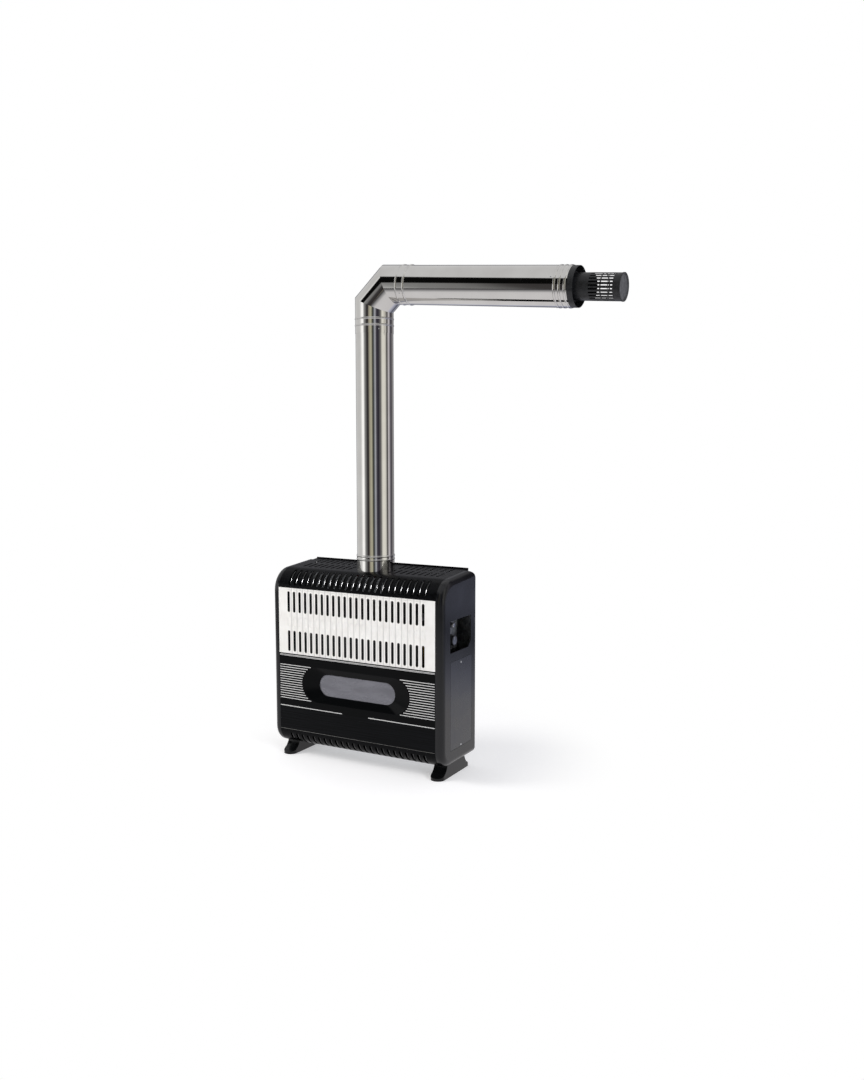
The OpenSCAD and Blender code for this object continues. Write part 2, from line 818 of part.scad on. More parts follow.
// Side view of a foot in (y, z), drawn inset from its outer surface
module foot_side(inset) {
    low = inset == 0 ? 0 : -over;
    difference() {
        translate([-sole_back - sole_len - over, low]) square([sole_len + 2 * over, foot_h - inset - low]);
        for (y = [-sole_back - sole_len, -sole_back]) translate([y, toe_h + flare_r])
            circle(r = flare_r + inset);
    }
}

// Plan of a foot, with its two round toes
module foot_plan(inset) {
    translate([foot_x, -sole_back - sole_len / 2]) slot_shape(foot_w - 2 * inset, sole_len - 2 * inset);
}

module foot() {
    difference() {
        intersection() {
            along_x(foot_x - foot_w / 2, foot_x + foot_w / 2) foot_side(0);
            linear_extrude(foot_h) foot_plan(0);
        }
        intersection() {
            along_x(foot_x - foot_w / 2, foot_x + foot_w / 2) foot_side(foot_wall);
            translate([0, 0, -over]) linear_extrude(foot_h) foot_plan(foot_wall);
        }
        for (y = foot_bolt_y) foot_hole(foot_bolt_x, y);
    }
}

module right_foot() {
    color(gloss_black) foot();
}

module left_foot() {
    color(gloss_black) mirror([1, 0, 0]) foot();
}

module at_foot_bolts() {
    for (i = [-1, 1], y = foot_bolt_y) translate([i * foot_bolt_x, y, foot_h]) children();
}

module foot_bolts() {
    color(bright_steel) at_foot_bolts() {
        translate([0, 0, -foot_wall - 3.5]) hex_prism(4.6, 3.5);
        translate([0, 0, -foot_wall]) cylinder(r = bolt_r, h = foot_wall + sheet + 6);
    }
}

module foot_nuts() {
    color(bright_steel) at_foot_bolts() translate([0, 0, sheet]) difference() {
        hex_prism(4.6, 4);
        translate([0, 0, -over]) cylinder(r = bolt_r + run_gap, h = 4 + 2 * over);
    }
}

// ---- Window ----

module window_part(y, t, grow, hole) {
    translate([0, 0, window_mid]) along_y(y, y + t) difference() {
        stadium(window_w + 2 * grow, window_h + 2 * grow);
        if (hole != undef) stadium(window_w + 2 * hole, window_h + 2 * hole);
    }
}

module window_glass() {
    color([0.45, 0.46, 0.5, 0.5]) window_part(glass_y, glass_t, glass_lap);
}

module window_seal() {
    color([0.85, 0.83, 0.78]) window_part(glass_y + glass_t, seal_t, glass_lap, -4);
}

module window_clamp_frame() {
    color(black_steel) difference() {
        window_part(clamp_y, clamp_t, clamp_lap, 0);
        at_window_screws() translate([0, 0, -over]) cylinder(r = 2.2, h = clamp_t + 2 * over);
    }
}

module at_window_screws() {
    for (x = window_screw_x, i = [-1, 1]) translate([x, clamp_y, window_mid + i * window_screw_z])
        rotate([-90, 0, 0]) children();
}

module window_screws() {
    color(bright_steel) at_window_screws() {
        translate([0, 0, -1.8]) cylinder(r = 3.5, h = 1.8);
        cylinder(r = 2, h = plate_y + plate_t - clamp_y + 4);
    }
}

// ---- Combustion chamber and heat exchanger ----

module combustion_chamber() {
    t = chamber_t;
    color(dark_steel) difference() {
        union() {
            box([-chamber_x, chamber_y, chamber_z], [chamber_x, chamber_back, chamber_top]);
            box([-chamber_x - 6, chamber_y, chamber_z - 6], [chamber_x + 6, chamber_y + t, chamber_top + 6]);
        }
        box(
            [t - chamber_x, chamber_y - over, chamber_z + t],
            [chamber_x - t, chamber_back - t, chamber_top - t]
        );
        throat_hole(chamber_top - 2 * t, chamber_top + t);
        duct_bore(-chamber_x - over, t - chamber_x + over, duct_low);
        translate([chamber_x - 2 * t, burner_y, burner_z]) rotate([0, 90, 0])
            cylinder(r = burner_r + hair, h = 4 * t);
        for (p = [[pilot_at[1], pilot_at[2]], [sensor_y, pilot_at[2] - 15], electrode_at])
            translate([chamber_x - 2 * t, p[0], p[1]]) rotate([0, 90, 0]) cylinder(r = 5.3, h = 4 * t);
    }
}

module throat_hole(z0, z1) {
    box([-throat[0] / 2, throat_y - throat[1] / 2, z0], [throat[0] / 2, throat_y + throat[1] / 2, z1]);
}

module chamber_front_plate() {
    color(black_steel) difference() {
        box([-chamber_x - 6, plate_y, chamber_z - 6], [chamber_x + 6, plate_y + plate_t, chamber_top + 6]);
        translate([0, 0, window_mid]) along_y(plate_y - over, plate_y + plate_t + over)
            stadium(window_w - 8, window_h - 8);
        at_window_screws() cylinder(r = 2.05, h = 40);
    }
}

stand_y = [-125, -65];

// Two folded legs that carry the chamber on the base
module chamber_stand() {
    z0 = foot_h + sheet;
    color(dark_steel) for (i = [-1, 1]) translate([i * (chamber_x - 60), 0, 0]) {
        box([-1, stand_y[0], z0], [1, stand_y[1], chamber_z]);
        box([-15, stand_y[0], z0], [15, stand_y[1], z0 + 2]);
        box([-15, stand_y[0], chamber_z - 2], [15, stand_y[1], chamber_z]);
    }
}

module heat_exchanger() {
    t = chamber_t;
    y0 = exchanger_y[0];
    y1 = exchanger_y[1];
    color(dark_steel) difference() {
        union() {
            box([-chamber_x, y0, chamber_top], [chamber_x, y1, exchanger_top]);
            for (i = [0:fin_count - 1]) {
                x = (i - (fin_count - 1) / 2) * (2 * chamber_x - 20) / (fin_count - 1);
                box([x - 0.75, y0 - 18, chamber_top + 10], [x + 0.75, y0 + 1, exchanger_top - 10]);
            }
        }
        box([t - chamber_x, y0 + t, chamber_top + t], [chamber_x - t, y1 - t, exchanger_top - t]);
        throat_hole(chamber_top - t, chamber_top + 2 * t);
        translate([0, flue_y, exchanger_top - 2 * t]) cylinder(r = inner_r + slip, h = 4 * t);
    }
}

module exchanger_baffle() {
    z = (chamber_top + exchanger_top) / 2;
    color(dark_steel) box(
        [chamber_t - chamber_x, exchanger_y[0] + chamber_t, z],
        [chamber_x - 90, exchanger_y[1] - chamber_t, z + chamber_t]
    );
}

// The air duct's run from x0 to x1 at the heights in z, outside and inside
module duct_run(x0, x1, z) {
    box([x0, duct_y[0], z[0]], [x1, duct_y[1], z[1]]);
}

module duct_bore(x0, x1, z) {
    t = chamber_t;
    box([x0, duct_y[0] + t, z[0] + t], [x1, duct_y[1] - t, z[1] - t]);
}

// Air comes down the left side from the flue box to the chamber
module air_duct() {
    inner = duct_x[0] + chamber_t;
    color(bright_steel) difference() {
        union() {
            duct_run(duct_x[0], duct_x[1], [duct_low[0], duct_high[1]]);
            duct_run(duct_x[0], -box_x, duct_high);
            duct_run(duct_x[0], -chamber_x, duct_low);
        }
        duct_bore(inner, duct_x[1] - chamber_t, [duct_low[0], duct_high[1]]);
        duct_bore(inner, over - box_x, duct_high);
        duct_bore(inner, over - chamber_x, duct_low);
    }
}

module flue_box() {
    t = chamber_t;
    y0 = flue_y - socket_out - 11;
    y1 = flue_y + socket_out + 11;
    color(bright_steel) difference() {
        box([-box_x, y0, exchanger_top], [box_x, y1, box_top]);
        box([t - box_x, y0 + t, exchanger_top + t], [box_x - t, y1 - t, box_top - t]);
        translate([0, flue_y, exchanger_top - over]) cylinder(r = inner_r + slip, h = t + 2 * over);
        translate([0, flue_y, box_top - t - over]) cylinder(r = outer_r, h = t + 2 * over);
        duct_bore(-box_x - over, t - box_x + over, duct_high);
    }
}

module flue_gasket() {
    color([0.7, 0.25, 0.2]) translate([0, flue_y, 0]) tube(socket_out + 9, outer_r, box_top, socket_low);
}

// ---- Burner ----

module burner_tube() {
    left = -chamber_x + 40;
    color(bright_steel) translate([0, burner_y, burner_z]) rotate([0, 90, 0]) difference() {
        union() {
            translate([0, 0, left]) cylinder(r = burner_r, h = chamber_x + 6 - left);
            translate([0, 0, chamber_x]) cylinder(r = burner_r + 8, h = 3);
        }
        translate([0, 0, left + 2]) cylinder(r = burner_r - 1.5, h = chamber_x - left + 20);
        for (i = [0:port_count - 1])
            translate([-burner_r - over, -7, left + 20 + i * (2 * chamber_x - 120) / port_count])
                cube([6, 14, 2]);
    }
}

module burner_supports() {
    color(dark_steel) for (x = [-chamber_x + 70, chamber_x - 90]) difference() {
        box([x - 1, burner_y - 18, chamber_z + chamber_t], [x + 1, burner_y + 18, burner_z - 4]);
        translate([x - 2, burner_y, burner_z]) rotate([0, 90, 0]) cylinder(r = burner_r, h = 4);
    }
}

module injector_holder() {
    color(brass) translate([chamber_x + 6, burner_y, burner_z]) rotate([0, 90, 0]) difference() {
        union() {
            cylinder(r = burner_r, h = 3);
            hex_prism(10, 14);
            translate([0, 0, -16]) cylinder(r = 5, h = 16);
        }
        translate([0, 0, -17]) cylinder(r = 0.8, h = 40);
        translate([0, 0, 4]) cylinder(r = 2.5, h = 20);
    }
}

module pilot_burner() {
    color(brass) translate([pilot_at[0], pilot_at[1], pilot_at[2] - 14]) difference() {
        union() {
            cylinder(r = 6, h = 22);
            translate([-4, -4, 22]) cube([8, 14, 6]);
        }
        translate([0, 0, 4]) cylinder(r = 2, h = 30);
    }
}

module thermocouple() {
    z = pilot_at[2] - 15;
    x = chamber_x + 15;
    tip = pilot_at[0] + 8;
    color([0.72, 0.42, 0.25]) {
        pipe_run([[chamber_x - 4, sensor_y, z], [x, sensor_y, z], [x, sensor_y, knob_z], [x, knob_y, knob_z],
            [magnet_end() - hair, knob_y, knob_z]], 1.5, 8);
        translate([tip, sensor_y, z]) rotate([0, 90, 0]) cylinder(r = 3, h = chamber_x - 4 - tip);
        translate([chamber_x - 4, sensor_y, z]) rotate([0, 90, 0]) cylinder(r = 5, h = 9);
    }
}

function magnet_end() = bracket_in - 62;

module spark_electrode() {
    x = chamber_x;
    y = electrode_at[0];
    z = electrode_at[1];
    color([0.92, 0.9, 0.85]) translate([x - 12, y, z]) rotate([0, 90, 0]) cylinder(r = 5, h = 24);
    color(bright_steel) pipe_run([[x - 12, y, z], [x - 38, y, z], [x - 38, pilot_at[1] + 12, z]], 1.2, 6);
}

module igniter_lead() {
    x = chamber_x + 26;
    color(black_steel) pipe_run([[plug_x[0] - 2 + hair, button_y, button_z], [x, button_y, button_z],
        [x, button_y, electrode_at[1]], [chamber_x + 12 + hair, button_y, electrode_at[1]]], 2.5, 8);
}

// ---- Controls ----

module control_bracket() {
    y0 = knob_y - 42;
    y1 = knob_y + 61;
    z0 = knob_z - 36;
    z1 = knob_z + 80;
    arm = knob_y + 30;
    x0 = chamber_x;
    color(bright_steel) difference() {
        union() {
            box([bracket_in, y0, z0], [bracket_x, y1, z1]);
            box([x0, y0, z1 - sheet], [bracket_x, y1, z1]);
            box([x0, y0 + 10, z1 - 24], [x0 + sheet, y1 - 10, z1]);
            box([x0, arm, z0], [bracket_x, y1, z0 + sheet]);
            box([x0, arm, z0 - 22], [x0 + sheet, y1, z0 + sheet]);
        }
        through_bracket(knob_y, knob_z, 9);
        through_bracket(button_y, button_z, 7);
    }
}

module through_bracket(y, z, r) {
    translate([bracket_in - over, y, z]) rotate([0, 90, 0]) cylinder(r = r, h = sheet + 2 * over);
}

// Section of the valve stem: round with one flat
module stem_section(gap) {
    intersection() {
        circle(r = stem_r + gap);
        translate([-2 * stem_r, -2 * stem_r]) square([2 * stem_r + stem_r * 0.75 + gap, 4 * stem_r]);
    }
}

module on_knob_axis(x) {
    translate([x, knob_y, knob_z]) rotate([0, 90, 0]) children();
}

module gas_valve_body() {
    x0 = bracket_in - 50;
    color(brass) difference() {
        union() {
            on_knob_axis(x0) cylinder(r = 17, h = bracket_in - x0);
            box([x0, knob_y - 26, port_z], [bracket_in - 8, knob_y + 24, knob_z - 6]);
            on_knob_axis(bracket_in - 4) cylinder(r = 20, h = 4);
        }
        on_knob_axis(plug_x[0])
            cylinder(r1 = plug_r[0] + run_gap, r2 = plug_r[1] + run_gap, h = plug_x[1] - plug_x[0]);
        on_knob_axis(plug_x[1]) cylinder(r = plug_r[1] + run_gap, h = 3);
        on_knob_axis(plug_x[1]) cylinder(r = stem_r + 0.6, h = 20);
        on_knob_axis(x0 - over) cylinder(r = 7, h = plug_x[0] - x0 + 2 * over);
        for (p = [[supply_port, 6], [feed_port, 4], [pilot_port, 2]])
            translate([p[0][0], p[0][1], port_z - over]) cylinder(r = p[1] + hair / 3, h = 7);
    }
}

// The thermocouple's current holds this magnet valve open
module magnet_unit() {
    x0 = magnet_end();
    body = bracket_in - 50;
    color(bright_steel) {
        on_knob_axis(x0) hex_prism(10, body - x0 - hair / 3);
        on_knob_axis(body - hair) cylinder(r = 6.9, h = plug_x[0] - body - 5);
    }
}

// Tapered plug that opens the gas way as it turns
module valve_plug() {
    long = plug_x[1] - plug_x[0];
    color(brass) difference() {
        on_knob_axis(plug_x[0] + hair) cylinder(r1 = plug_r[0] + hair / 10, r2 = plug_r[1], h = long - hair);
        on_knob_axis(plug_x[0] - over) linear_extrude(long + 2 * over) stem_section(run_gap);
        translate([(plug_x[0] + plug_x[1]) / 2, knob_y, knob_z - 20]) cylinder(r = 2.5, h = 14);
    }
}

module valve_stem() {
    x0 = plug_x[0] + knob_travel - 0.5;
    color(bright_steel) on_knob_axis(x0) linear_extrude(knob_x + knob_len - 6 - x0) stem_section(0);
}

module gas_control_knob() {
    skirt = 4;
    grip_r = knob_r - 3;
    flutes = 18;
    color(black_steel) difference() {
        on_knob_axis(knob_x) union() {
            cylinder(r = knob_r, h = skirt);
            translate([0, 0, skirt]) linear_extrude(knob_len - skirt) difference() {
                circle(r = grip_r);
                for (i = [0:flutes - 1]) rotate(i * 360 / flutes)
                    translate([grip_r + 0.9, 0]) circle(r = 1.8, $fn = 24);
            }
        }
        on_knob_axis(knob_x - over) linear_extrude(knob_len - 6 + over + hair) stem_section(0.01);
        on_knob_axis(knob_x + knob_len - 1.5) cylinder(r = grip_r - 4, h = 3);
    }
}

// Bright disc let into the knob's face, with a mark that shows its setting
module knob_cap() {
    r = knob_r - 3 - 4 - 0.02;
    color(bright_steel) on_knob_axis(knob_x + knob_len - 1.5) {
        cylinder(r = r, h = 1.5);
        translate([-r + 1, -0.8, 1.5]) cube([r * 0.7, 1.6, 0.8]);
    }
}

module on_button_axis(x) {
    translate([x, button_y, button_z]) rotate([0, 90, 0]) children();
}

module piezo_igniter() {
    x0 = plug_x[0] - 2;
    color(black_steel) difference() {
        union() {
            on_button_axis(x0 + hair) cylinder(r = 9, h = bracket_in - x0 - hair);
            on_button_axis(bracket_in) cylinder(r = 7 - hair / 3, h = sheet);
            on_button_axis(bracket_x) cylinder(r = 9.5, h = 2);
        }
        on_button_axis(bracket_in - 16) cylinder(r = 4 + run_gap, h = 30);
    }
}

module igniter_button() {
    color(bright_steel) {
        on_button_axis(bracket_in - 10) cylinder(r = 4, h = button_x - bracket_in + 10);
        on_button_axis(button_x) rotate_extrude() difference() {
            square([button_r, 6]);
            translate([button_r - 2, 4]) difference() {
                square(3);
                circle(r = 2, $fn = 32);
            }
        }
    }
}

// ---- Gas pipes ----

module gas_supply_pipe() {
    x = supply_port[0];
    y = supply_port[1];
    color(brass) pipe_run([[x, -44, inlet_z], [x, y, inlet_z], [x, y, port_z + 5]], 6, 20);
}

module gas_inlet_union() {
    color(brass) translate([supply_port[0], -50, inlet_z]) rotate([-90, 0, 0]) difference() {
        union() {
            hex_prism(15, 16);
            cylinder(r = inlet_r, h = 42);
        }
        translate([0, 0, -over]) cylinder(r = 6 + run_gap, h = 9);
        translate([0, 0, 6]) cylinder(r = 7, h = 60);
    }
}

inlet_r = 10.48;

module inlet_bracket() {
    x = supply_port[0];
    color(dark_steel) difference() {
        union() {
            box([x - 20, -52, foot_h + sheet], [x + 20, -50, inlet_z + 20]);
            box([x - 20, -66, foot_h + sheet], [x + 20, -50, foot_h + sheet + 2]);
        }
        translate([x, -60, inlet_z]) rotate([-90, 0, 0]) cylinder(r = 6.1, h = 20);
    }
}

module burner_feed_pipe() {
    x = feed_port[0];
    y = burner_y;
    z = burner_z;
    color([0.75, 0.76, 0.78])
        pipe_run([[x, y, port_z + 5], [x, y, z], [chamber_x + 20 + hair / 3, y, z]], 4, 15);
}

module pilot_pipe() {
    x = pilot_port[0];
    y = pilot_at[1];
    z = pilot_at[2];
    color([0.75, 0.76, 0.78]) pipe_run([[x, pilot_port[1], port_z + 5], [x, pilot_port[1], z], [x, y, z],
        [pilot_at[0] + 6 + hair / 3, y, z]], 2, 8);
}

// ---- Flue ----

// Places a shape on the vertical flue's axis
module on_rise() {
    translate([0, flue_y, 0]) children();
}

// Places a shape on the outward run, whose axis is the shape's own +Z, from where the two axes would meet
module on_run() {
    translate([0, flue_y, bend_z]) rotate([0, turn, 0]) children();
}

// Everything to one side of a mitre at (x, z) that leans over by a: beyond it, or before it
module beyond(p, a) {
    far = 300;
    translate([p[0], flue_y, p[1]]) rotate([0, a, 0]) box([-far, -far, 0], [far, far, far]);
}

module before(p, a) {
    far = 300;
    translate([p[0], flue_y, p[1]]) rotate([0, a, 0]) box([-far, -far, -far], [far, far, 0]);
}

module flue_socket() {
    color(bright_steel) on_rise() rotate_extrude() {
        translate([socket_in, socket_low]) square([pipe_t, socket_high - socket_low]);
        translate([socket_in, socket_low]) square([9, 1.2]);
        for (z = [socket_high - 1.5, socket_high - 13]) intersection() {
            translate([socket_out, z]) circle(r = bead_h, $fn = 32);
            translate([socket_in, z - bead_h]) square([pipe_t + bead_h, 2 * bead_h]);
        }
    }
}

module outer_pipe_vertical() {
    color(bright_steel) on_rise() beaded_pipe(outer_r, pipe_t, socket_low + 8, joint_high, []);
}

module inner_pipe_vertical() {
    color(black_steel) on_rise() tube(inner_r, inner_r - pipe_t, exchanger_top - 10, bend_z - inner_tangent);
}

module elbow_lower_gore() {
    color(bright_steel) difference() {
        on_rise() beaded_pipe(socket_out, pipe_t, joint_low, flue_rise + socket_out,
            [joint_low + 26, joint_high + 2]);
        beyond([0, flue_rise], mitre);
    }
}

module elbow_middle_gore() {
    lap = socket_out;
    color(bright_steel) difference() {
        translate([0, flue_y, flue_rise]) rotate([0, mid_a, 0])
            tube(socket_out, socket_in, -lap, gore_len + lap);
        before([0, flue_rise], mitre);
        beyond(mitre_2, 3 * mitre);
    }
}

module elbow_upper_gore() {
    color(bright_steel) difference() {
        on_run() beaded_pipe(socket_out, pipe_t, bend_s - socket_out, upper_end,
            [upper_end - 1.5, upper_end - 28]);
        before(mitre_2, 3 * mitre);
    }
}

module inner_elbow() {
    color(black_steel) translate([inner_bend, flue_y, bend_z - inner_tangent]) rotate([90, 0, 180])
        rotate_extrude(angle = turn) translate([inner_bend, 0]) difference() {
            circle(r = inner_r);
            circle(r = inner_r - pipe_t);
        }
}

module outer_pipe_horizontal() {
    color(bright_steel) on_run() beaded_pipe(outer_r, pipe_t, upper_joint, outer_end,
        [outer_end - 7, outer_end - 24, outer_end - 40]);
}

module inner_pipe_horizontal() {
    color(black_steel) on_run()
        tube(inner_r, inner_r - pipe_t, inner_tangent, outer_end - terminal_lap + 30);
}

// Black ring in the end of the outer pipe: it centres the terminal and lets the air in
module air_intake_ring() {
    rim = outer_r - pipe_t - 0.1;
    hub = terminal_r + 0.1;
    spokes = 8;
    color(black_steel) on_run() translate([0, 0, outer_end - 14]) {
        tube(rim, rim - 2, 0, 32);
        tube(hub + 2, hub, 0, 20);
        linear_extrude(2) difference() {
            circle(r = rim - 1);
            circle(r = hub + 1);
            difference() {
                circle(r = rim - 2);
                circle(r = hub + 2);
                for (i = [0:spokes / 2 - 1]) rotate(i * 360 / spokes) square([3 * rim, 5], center = true);
            }
        }
    }
}

// Slotted exhaust terminal
module terminal_tube() {
    color(black_steel) on_run() difference() {
        union() {
            tube(terminal_r, terminal_in, outer_end - terminal_lap, terminal_end);
            tube(terminal_r + 1, terminal_in, terminal_end - 4, terminal_end);
        }
        for (ring = slot_rings, i = [0:terminal_slots - 1]) rotate([0, 0, i * 360 / terminal_slots])
            translate([terminal_in - 2, -terminal_slot_w / 2, terminal_end + ring[0]])
                cube([5, terminal_slot_w, ring[1]]);
    }
}

module terminal_deflector() {
    color(dark_steel) on_run() translate([0, 0, terminal_end - 6]) rotate_extrude() {
        square([terminal_in - 0.1, 1]);
        translate([terminal_in - 1.1, 0]) square([1, 5]);
    }
}

rear_panel();
base_tray();
left_side_cap();
right_side_cap();
top_grille();
upper_front_panel();
lower_front_panel();
bottom_grille();
service_door();
service_door_screws();
casing_screws();
left_foot();
right_foot();
foot_bolts();
foot_nuts();
window_glass();
window_seal();
window_clamp_frame();
window_screws();
combustion_chamber();
chamber_front_plate();
chamber_stand();
exchanger_baffle();
heat_exchanger();
air_duct();
flue_box();
flue_gasket();
burner_tube();
burner_supports();
injector_holder();
pilot_burner();
thermocouple();
spark_electrode();
igniter_lead();
control_bracket();
gas_valve_body();
magnet_unit();
valve_plug();
valve_stem();
gas_control_knob();
knob_cap();
piezo_igniter();
igniter_button();
gas_supply_pipe();
gas_inlet_union();
inlet_bracket();
burner_feed_pipe();
pilot_pipe();
flue_socket();
outer_pipe_vertical();
inner_pipe_vertical();
elbow_lower_gore();
elbow_middle_gore();
elbow_upper_gore();
inner_elbow();
outer_pipe_horizontal();
inner_pipe_horizontal();
air_intake_ring();
terminal_tube();
terminal_deflector();
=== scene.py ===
"""Looks of a flued gas heater: black and white enamelled casing, bright stainless flue, slotted black terminal."""

import math

import bpy
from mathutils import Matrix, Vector


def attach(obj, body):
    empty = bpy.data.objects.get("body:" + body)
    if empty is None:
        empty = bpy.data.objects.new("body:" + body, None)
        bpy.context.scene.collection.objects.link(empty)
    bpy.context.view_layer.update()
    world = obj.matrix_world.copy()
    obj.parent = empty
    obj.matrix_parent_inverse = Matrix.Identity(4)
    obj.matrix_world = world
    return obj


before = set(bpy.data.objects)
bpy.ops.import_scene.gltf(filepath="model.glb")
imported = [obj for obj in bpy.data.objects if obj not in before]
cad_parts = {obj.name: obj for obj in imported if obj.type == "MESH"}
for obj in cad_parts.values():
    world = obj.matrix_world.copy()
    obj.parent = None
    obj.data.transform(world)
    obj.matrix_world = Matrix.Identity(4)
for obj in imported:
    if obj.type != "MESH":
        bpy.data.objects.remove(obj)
bpy.ops.object.select_all(action="DESELECT")
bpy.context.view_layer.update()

MM = 0.001

# Places on the solids, in mm
SLOT_COUNT = 24          # slots across the casing, in the white panel and in both grilles
SLOT_PITCH = 22.73       # from one slot to the next
ROWS_MIDDLE = 474.65     # height midway between the white panel's two rows of slots
ROW_OFFSET = 67.15       # from there up or down to the middle of a row
SLOT_STRAIGHT = 30.75    # half the straight part of the white panel's slots
RULE_Z = 180             # height of the printed line under the window
WINDOW_Z = 265           # height of the window's middle


# ---- Colours and shader nodes ----


def linear(colour):
    """An sRGB hex colour as the linear values that a shader takes."""
    parts = [int(colour[i : i + 2], 16) / 255 for i in (1, 3, 5)]
    return [c / 12.92 if c <= 0.04045 else ((c + 0.055) / 1.055) ** 2.4 for c in parts] + [1]


def add(tree, kind, sockets=None, stops=(), **settings):
    """Adds a shader node with its settings. A socket gets a value, or a link where the value is another node's
    socket, or a node, which stands for its first output. stops are a colour ramp's positions and colours."""
    node = tree.nodes.new("ShaderNode" + kind)
    for name, value in settings.items():
        setattr(node, name, value)
    for i, (position, colour) in enumerate(stops):
        ramp = node.color_ramp.elements
        stop = ramp[i] if i < 2 else ramp.new(position)
        stop.position, stop.color = position, linear(colour)
    for name, value in (sockets or {}).items():
        if isinstance(value, bpy.types.Node):
            value = value.outputs[0]
        if isinstance(value, bpy.types.NodeSocket):
            tree.links.new(value, node.inputs[name])
        else:
            node.inputs[name].default_value = value
    return node


def finish_of(name, **surface):
    """A new material, its shader tree, its surface shader with constant settings, and object coordinates."""
    material = bpy.data.materials.new(name)
    material.use_nodes = True
    tree = material.node_tree
    shader = tree.nodes["Principled BSDF"]
    for socket, value in surface.items():
        shader.inputs[socket.replace("_", " ")].default_value = value
    return material, tree, shader, add(tree, "TexCoord").outputs["Object"]


def surfaced(tree, shader, tone, rough, bump=None):
    """Links a finish's tone, its roughness and, where it has one, its relief to the surface shader."""
    tree.links.new(tone.outputs[0], shader.inputs["Base Color"])
    tree.links.new(rough.outputs[0], shader.inputs["Roughness"])
    if bump:
        tree.links.new(bump.outputs[0], shader.inputs["Normal"])


def baked_coat(name, deep, pale, drift, gloss, peel, depth, **surface):
    """Paint sprayed and baked on steel. The tone drifts over patches drift mm wide, and the film has an
    orange peel of peel mm that breaks up the edges of its reflections."""
    material, tree, shader, place = finish_of(name, **surface)
    patches = add(tree, "TexNoise", {"Vector": place, "Scale": 1 / (drift * MM), "Detail": 3})
    tone = add(tree, "ValToRGB", {"Fac": patches}, stops=((0.3, deep), (0.7, pale)))
    film = add(tree, "TexNoise", {"Vector": place, "Scale": 1 / (peel * MM), "Detail": 2})
    rough = add(tree, "MapRange", {"Value": patches, "From Min": 0.3, "From Max": 0.7,
                                   "To Min": gloss[0], "To Max": gloss[1]})
    bump = add(tree, "Bump", {"Height": film, "Strength": 1, "Distance": depth * MM})
    surfaced(tree, shader, tone, rough, bump)
    return material


def worked_metal(name, dull, bright, lines, gloss, depth, drift=30, **surface):
    """Bare metal with the fine lines that its rolling, drawing or turning left. lines is the size in mm of
    those lines along X, Y and Z, so the longest is the way that the metal ran through the tool."""
    material, tree, shader, place = finish_of(name, Metallic=1, **surface)
    run = add(tree, "Mapping", {"Vector": place, "Scale": [1 / (size * MM) for size in lines]})
    fine = add(tree, "TexNoise", {"Vector": run, "Scale": 1, "Detail": 3})
    cloud = add(tree, "TexNoise", {"Vector": place, "Scale": 1 / (drift * MM), "Detail": 4})
    both = add(tree, "Math", {0: fine, 1: cloud}, operation="ADD")
    mean = add(tree, "Math", {0: both, 1: 0.5}, operation="MULTIPLY")
    tone = add(tree, "ValToRGB", {"Fac": mean}, stops=((0.35, dull), (0.65, bright)))
    rough = add(tree, "MapRange", {"Value": both, "From Min": 0.7, "From Max": 1.3,
                                   "To Min": gloss[0], "To Max": gloss[1]})
    bump = add(tree, "Bump", {"Height": both, "Strength": 1, "Distance": depth * MM})
    surfaced(tree, shader, tone, rough, bump)
    return material


# ---- Finishes ----

# Black stove enamel: a deep, hard gloss with a soft edge to its reflections
casing_enamel = baked_coat("black_stove_enamel", "#08090B", "#0E0F12", 60, (0.18, 0.26), 1.6, 0.006, IOR=1.42)

# The feet are small pressings with a thicker, wetter coat that pools in a brighter shine
foot_enamel = baked_coat("dipped_black_enamel", "#08090A", "#0E0F10", 25, (0.12, 0.2), 2.2, 0.01, IOR=1.33)

# The louvred grilles are sprayed thinner over their lips, so they shine a little less
grille_enamel = baked_coat("black_grille_enamel", "#070708", "#0E0F11", 12, (0.2, 0.32), 1.2, 0.008, IOR=1.14)

# The service door is satin beside the gloss of the cap around it
door_enamel = baked_coat("satin_black_enamel", "#0F1116", "#161922", 45, (0.24, 0.34), 1.4, 0.008, IOR=1.55)

# Satin heat-resistant paint on the terminal, dusty grey where the light catches it
terminal_paint = baked_coat("satin_black_heat_paint", "#151618", "#202123", 9, (0.34, 0.5), 0.9, 0.02, IOR=1.42)

# The deflector plate in the terminal's end is a lighter, greyer paint than the tube round it
deflector_paint = baked_coat("grey_heat_paint", "#4A4B4D", "#5B5C5E", 12, (0.4, 0.55), 0.9, 0.02, IOR=1.5)

# Where the louvres' rims are rolled the enamel runs thick and bright, and catches a lamp in a short glint
rim_enamel = baked_coat("thick_black_enamel", "#0A0B0D", "#101114", 20, (0.1, 0.16), 2.0, 0.004, IOR=1.6)

# Matt stove paint on the chamber and clamp frame, dull and slightly grainy
chamber_paint = baked_coat("matt_chamber_paint", "#1A1A1B", "#29282A", 14, (0.55, 0.75), 0.8, 0.03, IOR=1.5)

# Moulded black phenolic for the knob, the igniter and the lead: an even, slightly greyed sheen
knob_moulding = baked_coat("black_phenolic", "#131314", "#1D1D1F", 10, (0.3, 0.42), 0.5, 0.02, IOR=1.5)

# Glazed porcelain of the electrode's insulator: cream under a clear, wet-looking glaze
porcelain = baked_coat("glazed_porcelain", "#DAD6CA", "#EAE7DE", 8, (0.12, 0.2), 1.0, 0.004,
                       IOR=1.5, Coat_Weight=0.5, Coat_Roughness=0.05)

# Red silicone gasket under the flue socket, matt and rubbery
silicone = baked_coat("red_silicone", "#5A1A15", "#74261E", 10, (0.5, 0.65), 0.6, 0.02, IOR=1.41)

